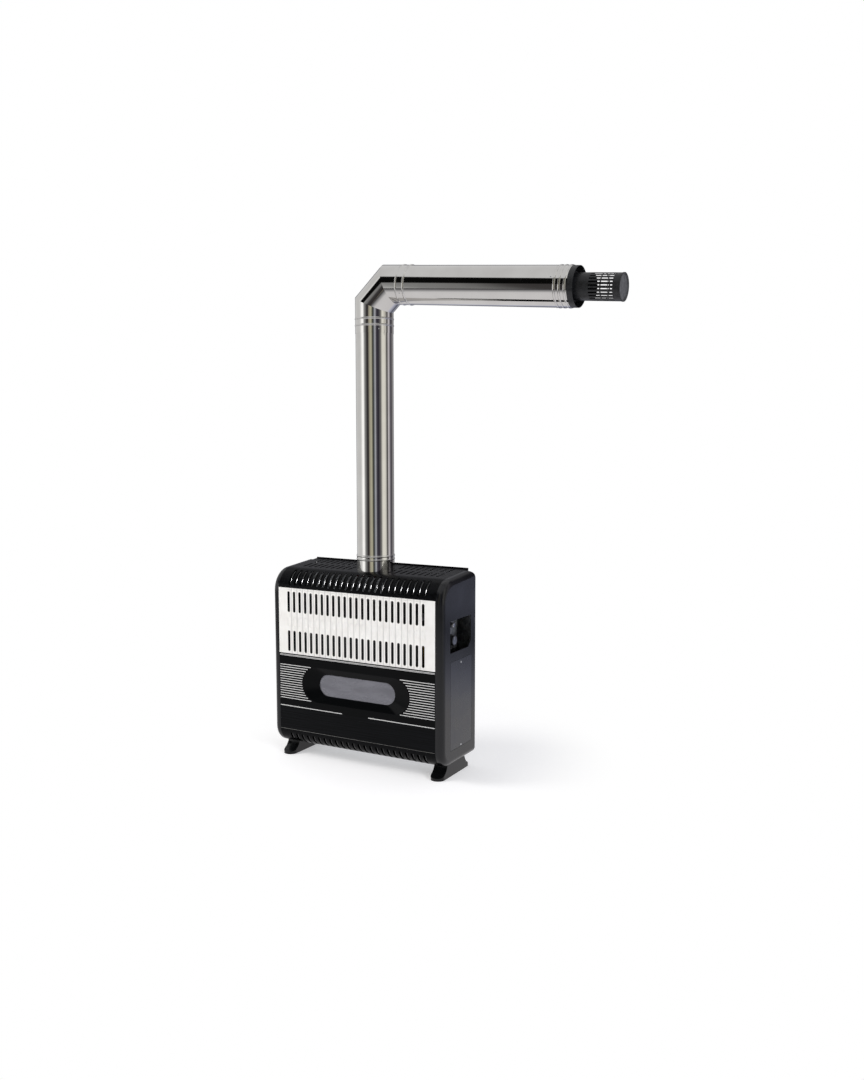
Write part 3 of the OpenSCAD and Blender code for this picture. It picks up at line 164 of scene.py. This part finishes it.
# Woven glass-fibre rope that seals the pane, off-white and fuzzy
fibre_rope = baked_coat("glass_fibre_rope", "#B9B3A2", "#DDD8C9", 1.6, (0.8, 0.95), 0.8, 0.2, IOR=1.5,
                        Sheen_Weight=0.4, Sheen_Roughness=0.6)

# Light grey ink of the printed lines on the lower panel, flat beside the gloss round it
line_ink = baked_coat("light_grey_ink", "#CACAC9", "#DADAD9", 18, (0.4, 0.5), 0.8, 0.006, IOR=1.5)

# Bright annealed stainless sheet, rolled up into pipe: close to a mirror, with a faint long waviness
flue_stainless = worked_metal("bright_annealed_stainless", "#C6C4C1", "#D0CFCC", (60, 60, 60), (0.04, 0.07),
                              0.008, drift=140)

# The inner pipe is mill-finish steel: dull, greyed by heat, with faint lines along its length
inner_stainless = worked_metal("mill_finish_flue_steel", "#6C6B6A", "#8A8987", (3, 3, 40), (0.3, 0.42), 0.02)

# Zinc plating on screws and bolts: pale, slightly blue, softly bright
zinc_plate = worked_metal("zinc_plated_steel", "#B4B7BC", "#D6D8DB", (1.2, 1.2, 1.2), (0.18, 0.3), 0.01, drift=6)

# Machined brass of the gas fittings: warm yellow, with fine turning marks
gas_brass = worked_metal("machined_brass", "#A8823E", "#CFAE64", (6, 0.4, 6), (0.16, 0.28), 0.01, drift=12)

# Drawn aluminium tube of the feed pipes: a pale, soft shine with fine lines along its length
drawn_aluminium = worked_metal("drawn_aluminium", "#B3B6BA", "#CDD0D3", (1, 8, 1), (0.26, 0.38), 0.015, drift=20)

# Polished zinc die-casting of the knob's cap and the igniter's button: bright, with a slight cloudiness
bright_casting = worked_metal("polished_zinc_casting", "#B8B9BB", "#D3D4D6", (3, 3, 3), (0.08, 0.14), 0.006, drift=9)


def spangled_zinc():
    """Hot-dip galvanised sheet: zinc crystals about 9 mm across, each a slightly different grey and gloss."""
    material, tree, shader, place = finish_of("hot_dip_galvanised_sheet", Metallic=1)
    wander = add(tree, "TexNoise", {"Vector": place, "Scale": 1 / (14 * MM), "Detail": 2})
    edge = add(tree, "MixRGB", {"Fac": 0.006, "Color1": place, "Color2": wander.outputs["Color"]}, blend_type="ADD")
    crystal = add(tree, "TexVoronoi", {"Vector": edge, "Scale": 1 / (9 * MM)})
    value = add(tree, "SeparateColor", {"Color": crystal.outputs["Color"]})
    tone = add(tree, "ValToRGB", {"Fac": value.outputs["Red"]}, stops=((0, "#8B8F93"), (1, "#B6BABD")))
    rough = add(tree, "MapRange", {"Value": value.outputs["Green"], "To Min": 0.3, "To Max": 0.5})
    surfaced(tree, shader, tone, rough)
    return material


def smoked_pane():
    """Tinted ceramic glass: a flat blue-grey from outside, with faint smudges and streaks from its burner."""
    material, tree, shader, place = finish_of("tinted_ceramic_glass", IOR=1.47, Transmission_Weight=0.25)
    long_way = add(tree, "Mapping", {"Vector": place, "Scale": [1 / (90 * MM), 1, 1 / (22 * MM)]})
    smudge = add(tree, "TexNoise", {"Vector": long_way, "Scale": 1, "Detail": 4})
    tone = add(tree, "ValToRGB", {"Fac": smudge}, stops=((0.35, "#82828A"), (0.7, "#72727A")))
    rough = add(tree, "MapRange", {"Value": smudge, "From Min": 0.3, "From Max": 0.7,
                                   "To Min": 0.2, "To Max": 0.36})
    surfaced(tree, shader, tone, rough)
    return material


def brushed_film():
    """Black enamel of the lower panel. Below its lower line it has long level brush marks about 1.5 mm apart."""
    material, tree, shader, place = finish_of("black_enamel_lower_panel", IOR=1.15)
    marks = add(tree, "Mapping", {"Vector": place, "Scale": [1 / (160 * MM), 1, 1 / (1.5 * MM)]})
    brush = add(tree, "TexNoise", {"Vector": marks, "Scale": 1, "Detail": 3})
    height = add(tree, "SeparateXYZ", {"Vector": place}).outputs["Z"]
    below = add(tree, "MapRange", {"Value": height, "From Min": (RULE_Z - 1.5) * MM,
                                   "From Max": (RULE_Z - 2.5) * MM})
    shown = add(tree, "Math", {0: brush, 1: below}, operation="MULTIPLY")
    tone = add(tree, "ValToRGB", {"Fac": shown}, stops=((0.4, "#08090A"), (0.75, "#121316")))
    peel = add(tree, "TexNoise", {"Vector": place, "Scale": 1 / (1.6 * MM), "Detail": 2})
    relief = add(tree, "Math", {0: shown, 1: 3, 2: peel}, operation="MULTIPLY_ADD")
    bump = add(tree, "Bump", {"Height": relief, "Strength": 1, "Distance": 0.006 * MM})
    rough = add(tree, "MapRange", {"Value": shown, "To Min": 0.17, "To Max": 0.4})
    surfaced(tree, shader, tone, rough, bump)
    return material


def slotted_white():
    """Off-white enamel of the slotted panel, warm with a faint drift of tone. Round each slot, out to about 1 mm
    past the punched edge, and on the cut edges themselves, the colour is painted near-black as painted shade; the
    valleys between the flutes get a painted grey shade."""
    material, tree, shader, place = finish_of("off_white_enamel", IOR=1.5, Coat_Weight=0.2, Coat_Roughness=0.15)
    patches = add(tree, "TexNoise", {"Vector": place, "Scale": 1 / (35 * MM), "Detail": 3})
    tone = add(tree, "ValToRGB", {"Fac": patches}, stops=((0.3, "#EFEDE9"), (0.7, "#F6F5F2")))
    # across is 0 in the valley between two flutes and half a pitch at a slot's middle
    at = add(tree, "SeparateXYZ", {"Vector": place})
    across = add(tree, "Math", {0: at.outputs["X"], 1: SLOT_PITCH / 2 * MM}, operation="PINGPONG")
    from_middle = add(tree, "Math", {0: SLOT_PITCH / 2 * MM, 1: across}, operation="SUBTRACT")
    # past is how far above or below the straight part of its slot a point is, in either row
    row = add(tree, "Math", {0: at.outputs["Z"], 1: ROWS_MIDDLE * MM}, operation="SUBTRACT")
    row = add(tree, "Math", {0: row}, operation="ABSOLUTE")
    row = add(tree, "Math", {0: row, 1: ROW_OFFSET * MM}, operation="SUBTRACT")
    row = add(tree, "Math", {0: row}, operation="ABSOLUTE")
    past = add(tree, "Math", {0: row, 1: SLOT_STRAIGHT * MM}, operation="SUBTRACT")
    past = add(tree, "Math", {0: past, 1: 0}, operation="MAXIMUM")
    # Painted shade: near-black within 5 mm of a slot's middle line, and on edges that don't face the front
    flat = add(tree, "CombineXYZ", {"X": from_middle, "Y": past})
    off = add(tree, "VectorMath", {0: flat}, operation="LENGTH").outputs["Value"]
    painted_slot_shade = add(tree, "MapRange", {"Value": off, "From Min": 5.1 * MM, "From Max": 4.7 * MM})
    inside = add(tree, "Math", {0: at.outputs["X"]}, operation="ABSOLUTE")
    inside = add(tree, "Math", {0: inside, 1: 270 * MM}, operation="LESS_THAN")
    painted_slot_shade = add(tree, "Math", {0: painted_slot_shade, 1: inside}, operation="MULTIPLY")
    turned = add(tree, "SeparateXYZ", {"Vector": add(tree, "TexCoord").outputs["Normal"]})
    front = add(tree, "Math", {0: turned.outputs["Y"]}, operation="ABSOLUTE")
    edge = add(tree, "MapRange", {"Value": front, "From Min": 0.75, "From Max": 0.5})
    painted_shade = add(tree, "Math", {0: edge, 1: painted_slot_shade}, operation="MAXIMUM")
    # Painted shade: greyer in the valleys between the flutes
    painted_valley_shade = add(tree, "MapRange", {"Value": across, "From Min": 3.5 * MM, "From Max": 0.4 * MM, "To Max": 0.5})
    fluted = add(tree, "Math", {0: painted_valley_shade, 1: inside}, operation="MULTIPLY")
    shaded = add(tree, "MixRGB", {"Fac": fluted, "Color1": tone, "Color2": linear("#B4B2B0")})
    # The slots' near-black painted shade goes over the tone and the painted valley shade
    coat = add(tree, "MixRGB", {"Fac": painted_shade, "Color1": shaded, "Color2": linear("#0D0C0C")})
    film = add(tree, "TexNoise", {"Vector": place, "Scale": 1 / (1.8 * MM), "Detail": 2})
    bump = add(tree, "Bump", {"Height": film, "Strength": 1, "Distance": 0.006 * MM})
    rough = add(tree, "MapRange", {"Value": patches, "From Min": 0.3, "From Max": 0.7,
                                   "To Min": 0.28, "To Max": 0.4})
    surfaced(tree, shader, coat, rough, bump)
    return material


galvanised = spangled_zinc()
panel_enamel = slotted_white()
pane_glass = smoked_pane()
lower_panel_enamel = brushed_film()

WEARS = {
    casing_enamel: ["left_side_cap", "right_side_cap"],
    foot_enamel: ["left_foot", "right_foot"],
    grille_enamel: ["top_grille", "bottom_grille"],
    door_enamel: ["service_door"],
    panel_enamel: ["upper_front_panel"],
    lower_panel_enamel: ["lower_front_panel"],
    terminal_paint: ["air_intake_ring", "terminal_tube"],
    deflector_paint: ["terminal_deflector"],
    chamber_paint: ["window_clamp_frame", "combustion_chamber", "chamber_front_plate", "exchanger_baffle",
                    "heat_exchanger", "burner_supports"],
    knob_moulding: ["gas_control_knob", "piezo_igniter", "igniter_lead"],
    porcelain: ["spark_electrode"],
    silicone: ["flue_gasket"],
    fibre_rope: ["window_seal"],
    flue_stainless: ["flue_socket", "outer_pipe_vertical", "elbow_lower_gore", "elbow_middle_gore",
                     "elbow_upper_gore", "outer_pipe_horizontal"],
    inner_stainless: ["inner_pipe_vertical", "inner_elbow", "inner_pipe_horizontal"],
    zinc_plate: ["service_door_screws", "casing_screws", "foot_bolts", "foot_nuts", "window_screws",
                 "magnet_unit", "valve_stem"],
    gas_brass: ["injector_holder", "pilot_burner", "thermocouple", "gas_valve_body", "valve_plug",
                "gas_supply_pipe", "gas_inlet_union"],
    drawn_aluminium: ["burner_feed_pipe", "pilot_pipe"],
    bright_casting: ["knob_cap", "igniter_button"],
    galvanised: ["rear_panel", "base_tray", "chamber_stand", "air_duct", "flue_box", "burner_tube",
                 "control_bracket", "inlet_bracket"],
    pane_glass: ["window_glass"],
}
for finish, nodes in WEARS.items():
    for name in nodes:
        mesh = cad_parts[name].data
        mesh.materials.clear()
        mesh.materials.append(finish)


# ---- Trim pieces ----


def done(piece, name, finish, body="heater"):
    """Puts a piece's place in its mesh, turns its faces out, and gives it its finish and the body it rides on."""
    bpy.ops.object.transform_apply(location=True, rotation=True, scale=True)
    bpy.ops.object.mode_set(mode="EDIT")
    bpy.ops.mesh.select_all(action="SELECT")
    bpy.ops.mesh.normals_make_consistent(inside=False)
    bpy.ops.object.mode_set(mode="OBJECT")
    bpy.ops.object.shade_smooth_by_angle(angle=math.radians(35))
    piece.name = piece.data.name = name
    piece.data.materials.clear()
    piece.data.materials.append(finish)
    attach(piece, body)
    bpy.ops.object.select_all(action="DESELECT")


def joined(pieces):
    """Joins several pieces into the first, which stays the active one."""
    for piece in pieces:
        piece.select_set(True)
    bpy.context.view_layer.objects.active = pieces[0]
    bpy.ops.object.join()
    return pieces[0]


def stretched(factors, roll=0):
    """Stretches the new piece's mesh along X, Y and Z, and rolls its edges over by roll."""
    bpy.ops.object.mode_set(mode="EDIT")
    bpy.ops.transform.resize(value=factors)
    if roll:
        bpy.ops.mesh.bevel(offset=roll, segments=2)
    bpy.ops.object.mode_set(mode="OBJECT")
    return bpy.context.object


def set_down(piece, place, axis):
    """Turns a piece's own Z to axis and moves it to place, both in its mesh."""
    piece.rotation_euler = axis.to_track_quat("Z", "Y").to_euler()
    piece.location = place
    bpy.ops.object.transform_apply(location=True, rotation=True, scale=True)
    piece.select_set(False)
    return piece


FRONT = -230 * MM        # the casing's flat front
INK = 0.12 * MM          # how far a printed line stands off the enamel
LINE_END = 302 * MM      # how far the lines reach to each side
LINE_STEP = 8.27         # mm from one line beside the window to the next
DISH_HALF = 147          # mm from the window's middle to the centre of the round that those lines end on
DISH_ROUND = 64          # mm, that round's radius
UPPER_RULES = ((358.3, 1.8), (355.2, 1.4))      # mm, height and thickness of the two lines above the window
LOWER_GAP = (-50, 53)    # mm, where the line under the window is left open
RULE_TALL = 2.6          # mm, that line's thickness
HEM_Z = 98.6             # mm, height of the lower panel's bottom edge


def printed_line(x0, x1, z, tall):
    """One raised ink line on the lower panel, with its edges rolled over."""
    bpy.ops.mesh.primitive_cube_add(size=1, location=((x0 + x1) / 2, FRONT, z))
    line = stretched((x1 - x0, 2 * INK, tall), roll=0.07 * MM)
    line.select_set(False)
    return line


def side_stripes(side):
    """The fifteen level lines beside the window. Their inner ends follow the round end of the dish."""
    lines = []
    for i in range(-7, 8):
        inner = (DISH_HALF + math.sqrt(DISH_ROUND ** 2 - (i * LINE_STEP) ** 2)) * MM
        ends = sorted([side * LINE_END, side * inner])
        lines.append(printed_line(ends[0], ends[1], (WINDOW_Z + i * LINE_STEP) * MM, 2.4 * MM))
    done(joined(lines), "stripes_right" if side > 0 else "stripes_left", line_ink)


for side in (-1, 1):
    side_stripes(side)

upper_rule = joined([printed_line(-LINE_END, LINE_END, z * MM, tall * MM) for z, tall in UPPER_RULES])
done(upper_rule, "upper_rule", line_ink)
lower_rule = joined([printed_line(x0, x1, RULE_Z * MM, RULE_TALL * MM)
                     for x0, x1 in ((-LINE_END, LOWER_GAP[0] * MM), (LOWER_GAP[1] * MM, LINE_END))])
done(lower_rule, "lower_rule", line_ink)

# The lower panel's bottom edge is rolled over; the rolled edge is finished in grey bare metal as a painted highlight
# line along it
bpy.ops.mesh.primitive_cylinder_add(vertices=16, radius=0.8 * MM, depth=1, location=(0, FRONT, HEM_Z * MM),
                                    rotation=(0, math.radians(90), 0))
done(stretched((2 * LINE_END, 1, 1), roll=0.2 * MM), "lower_panel_hem_painted_highlight", inner_stainless)


FLUE_Y = -91 * MM
PIPE_R = 62.5 * MM
MITRE = math.radians(23.5)      # half the turn of each of the elbow's two mitres, 94 degrees together


def mitre_seam(name, x, z, tilt):
    """The folded seam that stands up where two gores of the elbow meet: an oval ring across the mitre."""
    bpy.ops.mesh.primitive_torus_add(major_radius=PIPE_R, minor_radius=0.8 * MM, major_segments=96,
                                     minor_segments=10)
    ring = stretched((1 / math.cos(MITRE), 1, 0.8))
    ring.rotation_euler = (0, tilt, 0)
    ring.location = (x, FLUE_Y, z)
    done(ring, name, flue_stainless)


mitre_seam("lower_mitre_seam", 0, 1528 * MM, MITRE)
mitre_seam("upper_mitre_seam", 65.82 * MM, 1589.38 * MM, 3 * MITRE)


def blind_rivet(place, outward):
    """A pop rivet's low dome with its punched dimple, its axis along outward."""
    bpy.ops.mesh.primitive_uv_sphere_add(segments=20, ring_count=12, radius=2.6 * MM)
    dome = stretched((1, 1, 0.55))
    for vertex in dome.data.vertices:
        dimple = max(0, 1 - (vertex.co.xy.length / (1.1 * MM)) ** 2)
        vertex.co.z -= 0.9 * MM * dimple * (vertex.co.z > 0)
    return set_down(dome, place, outward)


def ring_of_rivets(centre, axis, angles, name):
    """Rivets round a pipe at centre, at angles in degrees from the side that faces the front."""
    front = Vector((0, -1, 0))
    side = axis.cross(front).normalized()
    domes = []
    for angle in angles:
        turn = math.radians(angle)
        outward = front * math.cos(turn) + side * math.sin(turn)
        domes.append(blind_rivet(centre + outward * PIPE_R, outward))
    done(joined(domes), name, zinc_plate)


# The flue's two straight axes and the point where they cross
RISE = Vector((0, 0, 1))
RUN = Vector((math.cos(math.radians(4)), 0, -math.sin(math.radians(4))))
BEND = Vector((0, FLUE_Y, 1593.98 * MM))
ring_of_rivets(Vector((0, FLUE_Y, 1447 * MM)), RISE, (45, 165, 285), "lower_pipe_rivets")
ring_of_rivets(BEND + RUN * 130 * MM, RUN, (30, 150, 270), "upper_pipe_rivets")
ring_of_rivets(BEND + RUN * 645 * MM, RUN, (-20, 100, 220), "end_pipe_rivets")


def swaged_beads(name, start, axis, distances):
    """Round beads pressed out of the pipe, about 8 mm wide and 1.6 mm high, at distances in mm along axis."""
    beads = []
    for distance in distances:
        bpy.ops.mesh.primitive_torus_add(major_radius=PIPE_R + 0.1 * MM, minor_radius=1.6 * MM,
                                         major_segments=96, minor_segments=12)
        beads.append(set_down(stretched((1, 1, 2.4)), start + axis * distance * MM, axis))
    done(joined(beads), name, flue_stainless)


FLUE_FOOT = Vector((0, FLUE_Y, 0))
swaged_beads("socket_beads", FLUE_FOOT, RISE, (690.6, 702.1))
swaged_beads("lower_elbow_beads", FLUE_FOOT, RISE, (1461, 1482))
swaged_beads("upper_elbow_beads", BEND, RUN, (117, 143.5))
swaged_beads("pipe_end_beads", BEND, RUN, (657.7, 673.7, 690.7))

# The middle of each slot across the casing, and how far beside it the louvre's rolled rim runs
SLOTS = [(i - (SLOT_COUNT - 1) / 2) * SLOT_PITCH * MM for i in range(SLOT_COUNT)]
RIM_SIDE = 5.4 * MM
RIM_VERTICES = 16


def rolled_rims(name, y, z, reach, start, end, thick):
    """The rolled rims beside one grille's slots: round wires thick mm in radius, bent about the line along X
    at (y, z), reach mm from it, from start to end in degrees up from the back."""
    at = math.radians(start)
    y, z, reach, thick = y * MM, z * MM, reach * MM, thick * MM
    spot = (SLOTS[0] + RIM_SIDE, y + reach * math.cos(at), z + reach * math.sin(at))
    bpy.ops.mesh.primitive_circle_add(vertices=RIM_VERTICES, radius=thick, fill_type="NOTHING", location=spot,
                                      rotation=(at, 0, 0))
    first = bpy.context.object
    bpy.ops.object.transform_apply(location=True, rotation=True, scale=True)
    bpy.ops.object.mode_set(mode="EDIT")
    bpy.ops.mesh.select_all(action="SELECT")
    # Spin turns the other way round X than a rotation does
    bpy.ops.mesh.spin(steps=14, angle=math.radians(start - end), center=(0, y, z), axis=(1, 0, 0))
    bpy.ops.mesh.select_all(action="DESELECT")
    bpy.ops.mesh.select_non_manifold(extend=False)
    bpy.ops.mesh.fill_holes(sides=RIM_VERTICES)
    bpy.ops.object.mode_set(mode="OBJECT")
    rims = [first]
    for x in SLOTS[1:]:
        twin = first.copy()
        twin.data = first.data.copy()
        twin.location.x = x - SLOTS[0]
        bpy.context.collection.objects.link(twin)
        rims.append(twin)
    done(joined(rims), name, rim_enamel)


rolled_rims("top_louvre_rims", -169.75, 589.51, 57.2, 118, 166, 1.7)
rolled_rims("toe_louvre_rims", -170, 103, 59.6, 219, 198, 1.3)


# ---- Camera, floor and studio ----

# The camera's place, angles and lens come from the lines of the casing and the flue in the photograph
scene = bpy.context.scene
eye = bpy.data.cameras.new("photo_view")
eye.lens, eye.sensor_width = 34.87, 36
camera = bpy.data.objects.new("photo_view", eye)
camera.location = (1.8513, -3.0655, 1.1416)
camera.rotation_euler = (math.radians(90 - 6.35), 0, math.radians(28.8))     # 6.35 down, 28.8 to the right
scene.collection.objects.link(camera)
scene.camera = camera
scene.view_settings.view_transform = "Standard"

# The studio round the heater is plain white wherever the camera, a mirror or glass looks at it
room = bpy.data.worlds.new("white_studio")
scene.world = room
room.use_nodes = True
tree = room.node_tree
tree.nodes.clear()
sky = add(tree, "Background", {"Color": linear("#F8F8FA"), "Strength": 0.5})
white = add(tree, "Background", {"Color": linear("#FFFFFF"), "Strength": 1})
ray = add(tree, "LightPath")
seen = add(tree, "Math", {0: ray.outputs["Is Camera Ray"], 1: ray.outputs["Is Glossy Ray"]}, operation="MAXIMUM")
seen = add(tree, "Math", {0: seen, 1: ray.outputs["Is Transmission Ray"]}, operation="MAXIMUM")
backdrop = add(tree, "MixShader", {0: seen, 1: sky, 2: white})
add(tree, "OutputWorld", {"Surface": backdrop})

bpy.ops.mesh.primitive_plane_add(size=40, location=(0, 0, 0))
floor = bpy.context.object
floor.name = "studio_floor"
# White paper, matt and slightly glowing, so that the shadow on it stays pale
sweep, tree, shader, place = finish_of("white_studio_floor", Roughness=0.9, Base_Color=linear("#E2E2E4"))
glow = add(tree, "Emission", {"Color": linear("#FFFFFF"), "Strength": 0.38})
lit = add(tree, "AddShader", {0: shader, 1: glow})
paper = add(tree, "Emission", {"Color": linear("#FFFFFF"), "Strength": 1})
away = add(tree, "VectorMath", {0: place}, operation="LENGTH").outputs["Value"]
# The heater's shadow ends within 0.8 m of it, and from there on the floor is plain white paper
beyond = add(tree, "MapRange", {"Value": away, "From Min": 0.4, "From Max": 0.8}, interpolation_type="SMOOTHSTEP")
seen = add(tree, "MixShader", {0: beyond, 1: lit, 2: paper})
# Painted reflection: in the glossy pieces the floor glows pale close by and darker further off, standing in for the
# fall-off from the lamps,
# # but not towards the right behind, where it glows as a painted reflection of a pale blue wall
far = add(tree, "MapRange", {"Value": away, "From Min": 0, "From Max": 4.5})
fade = add(tree, "ValToRGB", {"Fac": far},
           stops=((0.3, "#F2F0F2"), (0.46, "#ECEAEC"), (0.57, "#C0BFC1"), (0.8, "#706F72"), (1, "#2A292C")))
back = add(tree, "VectorMath", {0: place, 1: (0.5, 0.87, 0)}, operation="DOT_PRODUCT").outputs["Value"]
behind = add(tree, "MapRange", {"Value": back, "From Min": 0.9, "From Max": 1.3})
painted_wall_reach = add(tree, "MapRange", {"Value": back, "From Min": 1.2, "From Max": 3.6})
painted_wall_reflection = add(tree, "ValToRGB", {"Fac": painted_wall_reach}, stops=((0, "#D8DBF0"), (0.45, "#484B58"), (1, "#C6CAE4")))
floor_tone = add(tree, "MixRGB", {"Fac": behind, "Color1": fade, "Color2": painted_wall_reflection})
mirrored = add(tree, "Emission", {"Color": floor_tone, "Strength": 1})
ray = add(tree, "LightPath")
by_mirror = add(tree, "MixShader", {0: ray.outputs["Is Glossy Ray"], 1: shader, 2: mirrored})
by_eye = add(tree, "Math", {0: ray.outputs["Is Camera Ray"], 1: ray.outputs["Is Transmission Ray"]},
             operation="MAXIMUM")
shown = add(tree, "MixShader", {0: by_eye, 1: by_mirror, 2: seen})
tree.links.new(shown.outputs[0], tree.nodes["Material Output"].inputs["Surface"])
floor.data.materials.append(sweep)

# Painted reflections: a glowing ring of flags and pale cards round the studio, seen only as reflections; degrees
# from the front towards +X
CARDS = [(-180, "#76767A"), (-126, "#76767A"), (-118, "#BCBCBC"), (-66, "#BEBEBE"), (-57, "#D8D8D8"),
         (-50, "#FBFBFB"), (-41, "#FFFFFF"), (-35, "#B8B8B8"), (-29, "#787878"), (-23, "#6E6E6E"),
         (-18, "#3A3838"), (-8, "#2A2628"), (-1, "#948F80"), (11, "#AEAB96"), (16, "#646359"),
         (22, "#222324"), (28, "#70757A"), (34, "#A8A9B0"), (40, "#45434C"), (53, "#242129"),
         (58, "#504E52"), (66, "#605F5E"), (77, "#D6D4CC"), (92, "#D6D4CB"), (99, "#C0BEB8"),
         (107, "#5A5857"), (113, "#403E3E"), (121, "#C6C3C6"), (129, "#9F9BA1"), (140, "#403E46"),
         (152, "#333138"), (166, "#858385")]
CARDS_AWAY, CARDS_TALL = 4.5, 7         # the ring of cards, just sunk into the floor
bpy.ops.mesh.primitive_cylinder_add(vertices=96, radius=CARDS_AWAY, depth=CARDS_TALL,
                                    location=(0, 0, CARDS_TALL / 2 - 0.01))
cards = bpy.context.object
bpy.ops.object.transform_apply(location=True, rotation=True, scale=True)
cards.name = "studio_cards"
for sight in ("camera", "diffuse", "transmission", "volume_scatter", "shadow"):
    setattr(cards, "visible_" + sight, False)
card_stock, tree, shader, place = finish_of("studio_card")
tree.nodes.remove(shader)
axes = add(tree, "SeparateXYZ", {"Vector": place})
ahead = add(tree, "Math", {0: axes.outputs["Y"], 1: -1}, operation="MULTIPLY")
bearing = add(tree, "Math", {0: axes.outputs["X"], 1: ahead}, operation="ARCTAN2")
around = add(tree, "MapRange", {"Value": bearing, "From Min": -math.pi, "From Max": math.pi})
strips = add(tree, "ValToRGB", {"Fac": around}, stops=[((angle + 180) / 360, colour) for angle, colour in CARDS])
# On the glowing ring a black flag is painted from 2.2 m up at the front left, and above the cards a pale ceiling is
# painted, from 5 m up
aside = add(tree, "Math", {0: bearing, 1: math.radians(33)}, operation="ADD")
aside = add(tree, "Math", {0: aside}, operation="ABSOLUTE")
wide = add(tree, "MapRange", {"Value": aside, "From Min": math.radians(24), "From Max": math.radians(20)})
tall = add(tree, "MapRange", {"Value": axes.outputs["Z"], "From Min": 2.0, "From Max": 2.3})
flag = add(tree, "Math", {0: wide, 1: tall}, operation="MULTIPLY")
hung = add(tree, "MixRGB", {"Fac": flag, "Color1": strips, "Color2": linear("#080808")})
high = add(tree, "MapRange", {"Value": axes.outputs["Z"], "From Min": 4.8, "From Max": 5.2})
mixed = add(tree, "MixRGB", {"Fac": high, "Color1": hung, "Color2": linear("#BCBCBD")})
shone = add(tree, "Emission", {"Color": mixed, "Strength": 1.6})
tree.links.new(shone.outputs[0], tree.nodes["Material Output"].inputs["Surface"])
cards.data.materials.append(card_stock)


def softbox(name, place, aim, size, power, colour):
    """A lamp with a soft cloth, size[0] wide and size[1] tall, aimed at a point on the heater."""
    lamp = bpy.data.lights.new(name, "AREA")
    lamp.shape, lamp.size, lamp.size_y = "RECTANGLE", size[0], size[1]
    lamp.energy, lamp.color = power, linear(colour)[:3]
    box = bpy.data.objects.new(name, lamp)
    box.location = place
    box.rotation_euler = (Vector(aim) - Vector(place)).to_track_quat("-Z", "Y").to_euler()
    box.visible_glossy = False      # the cards alone make the reflections
    scene.collection.objects.link(box)
    return box


softbox("key_softbox", (-3.3, -1.9, 2.3), (0, 0, 0.5), (1.5, 1.5), 112, "#FFFDF8")
softbox("right_softbox", (3.7, -1.75, 1.5), (0, 0, 0.5), (1.2, 1.2), 75, "#FAFAFF")

# A lamp high in front lights nothing but the top louvres' rims, where it shows as short glints
glints = softbox("glint_strip", (1, -2.8, 2.9), (0, -0.2, 0.6), (1.6, 1.4), 1000, "#FFFFFF")
glints.visible_glossy = True
glints.visible_diffuse = glints.visible_transmission = False
glinting = bpy.data.collections.new("glinting_rims")
glinting.objects.link(bpy.data.objects["top_louvre_rims"])
glints.light_linking.receiver_collection = glinting
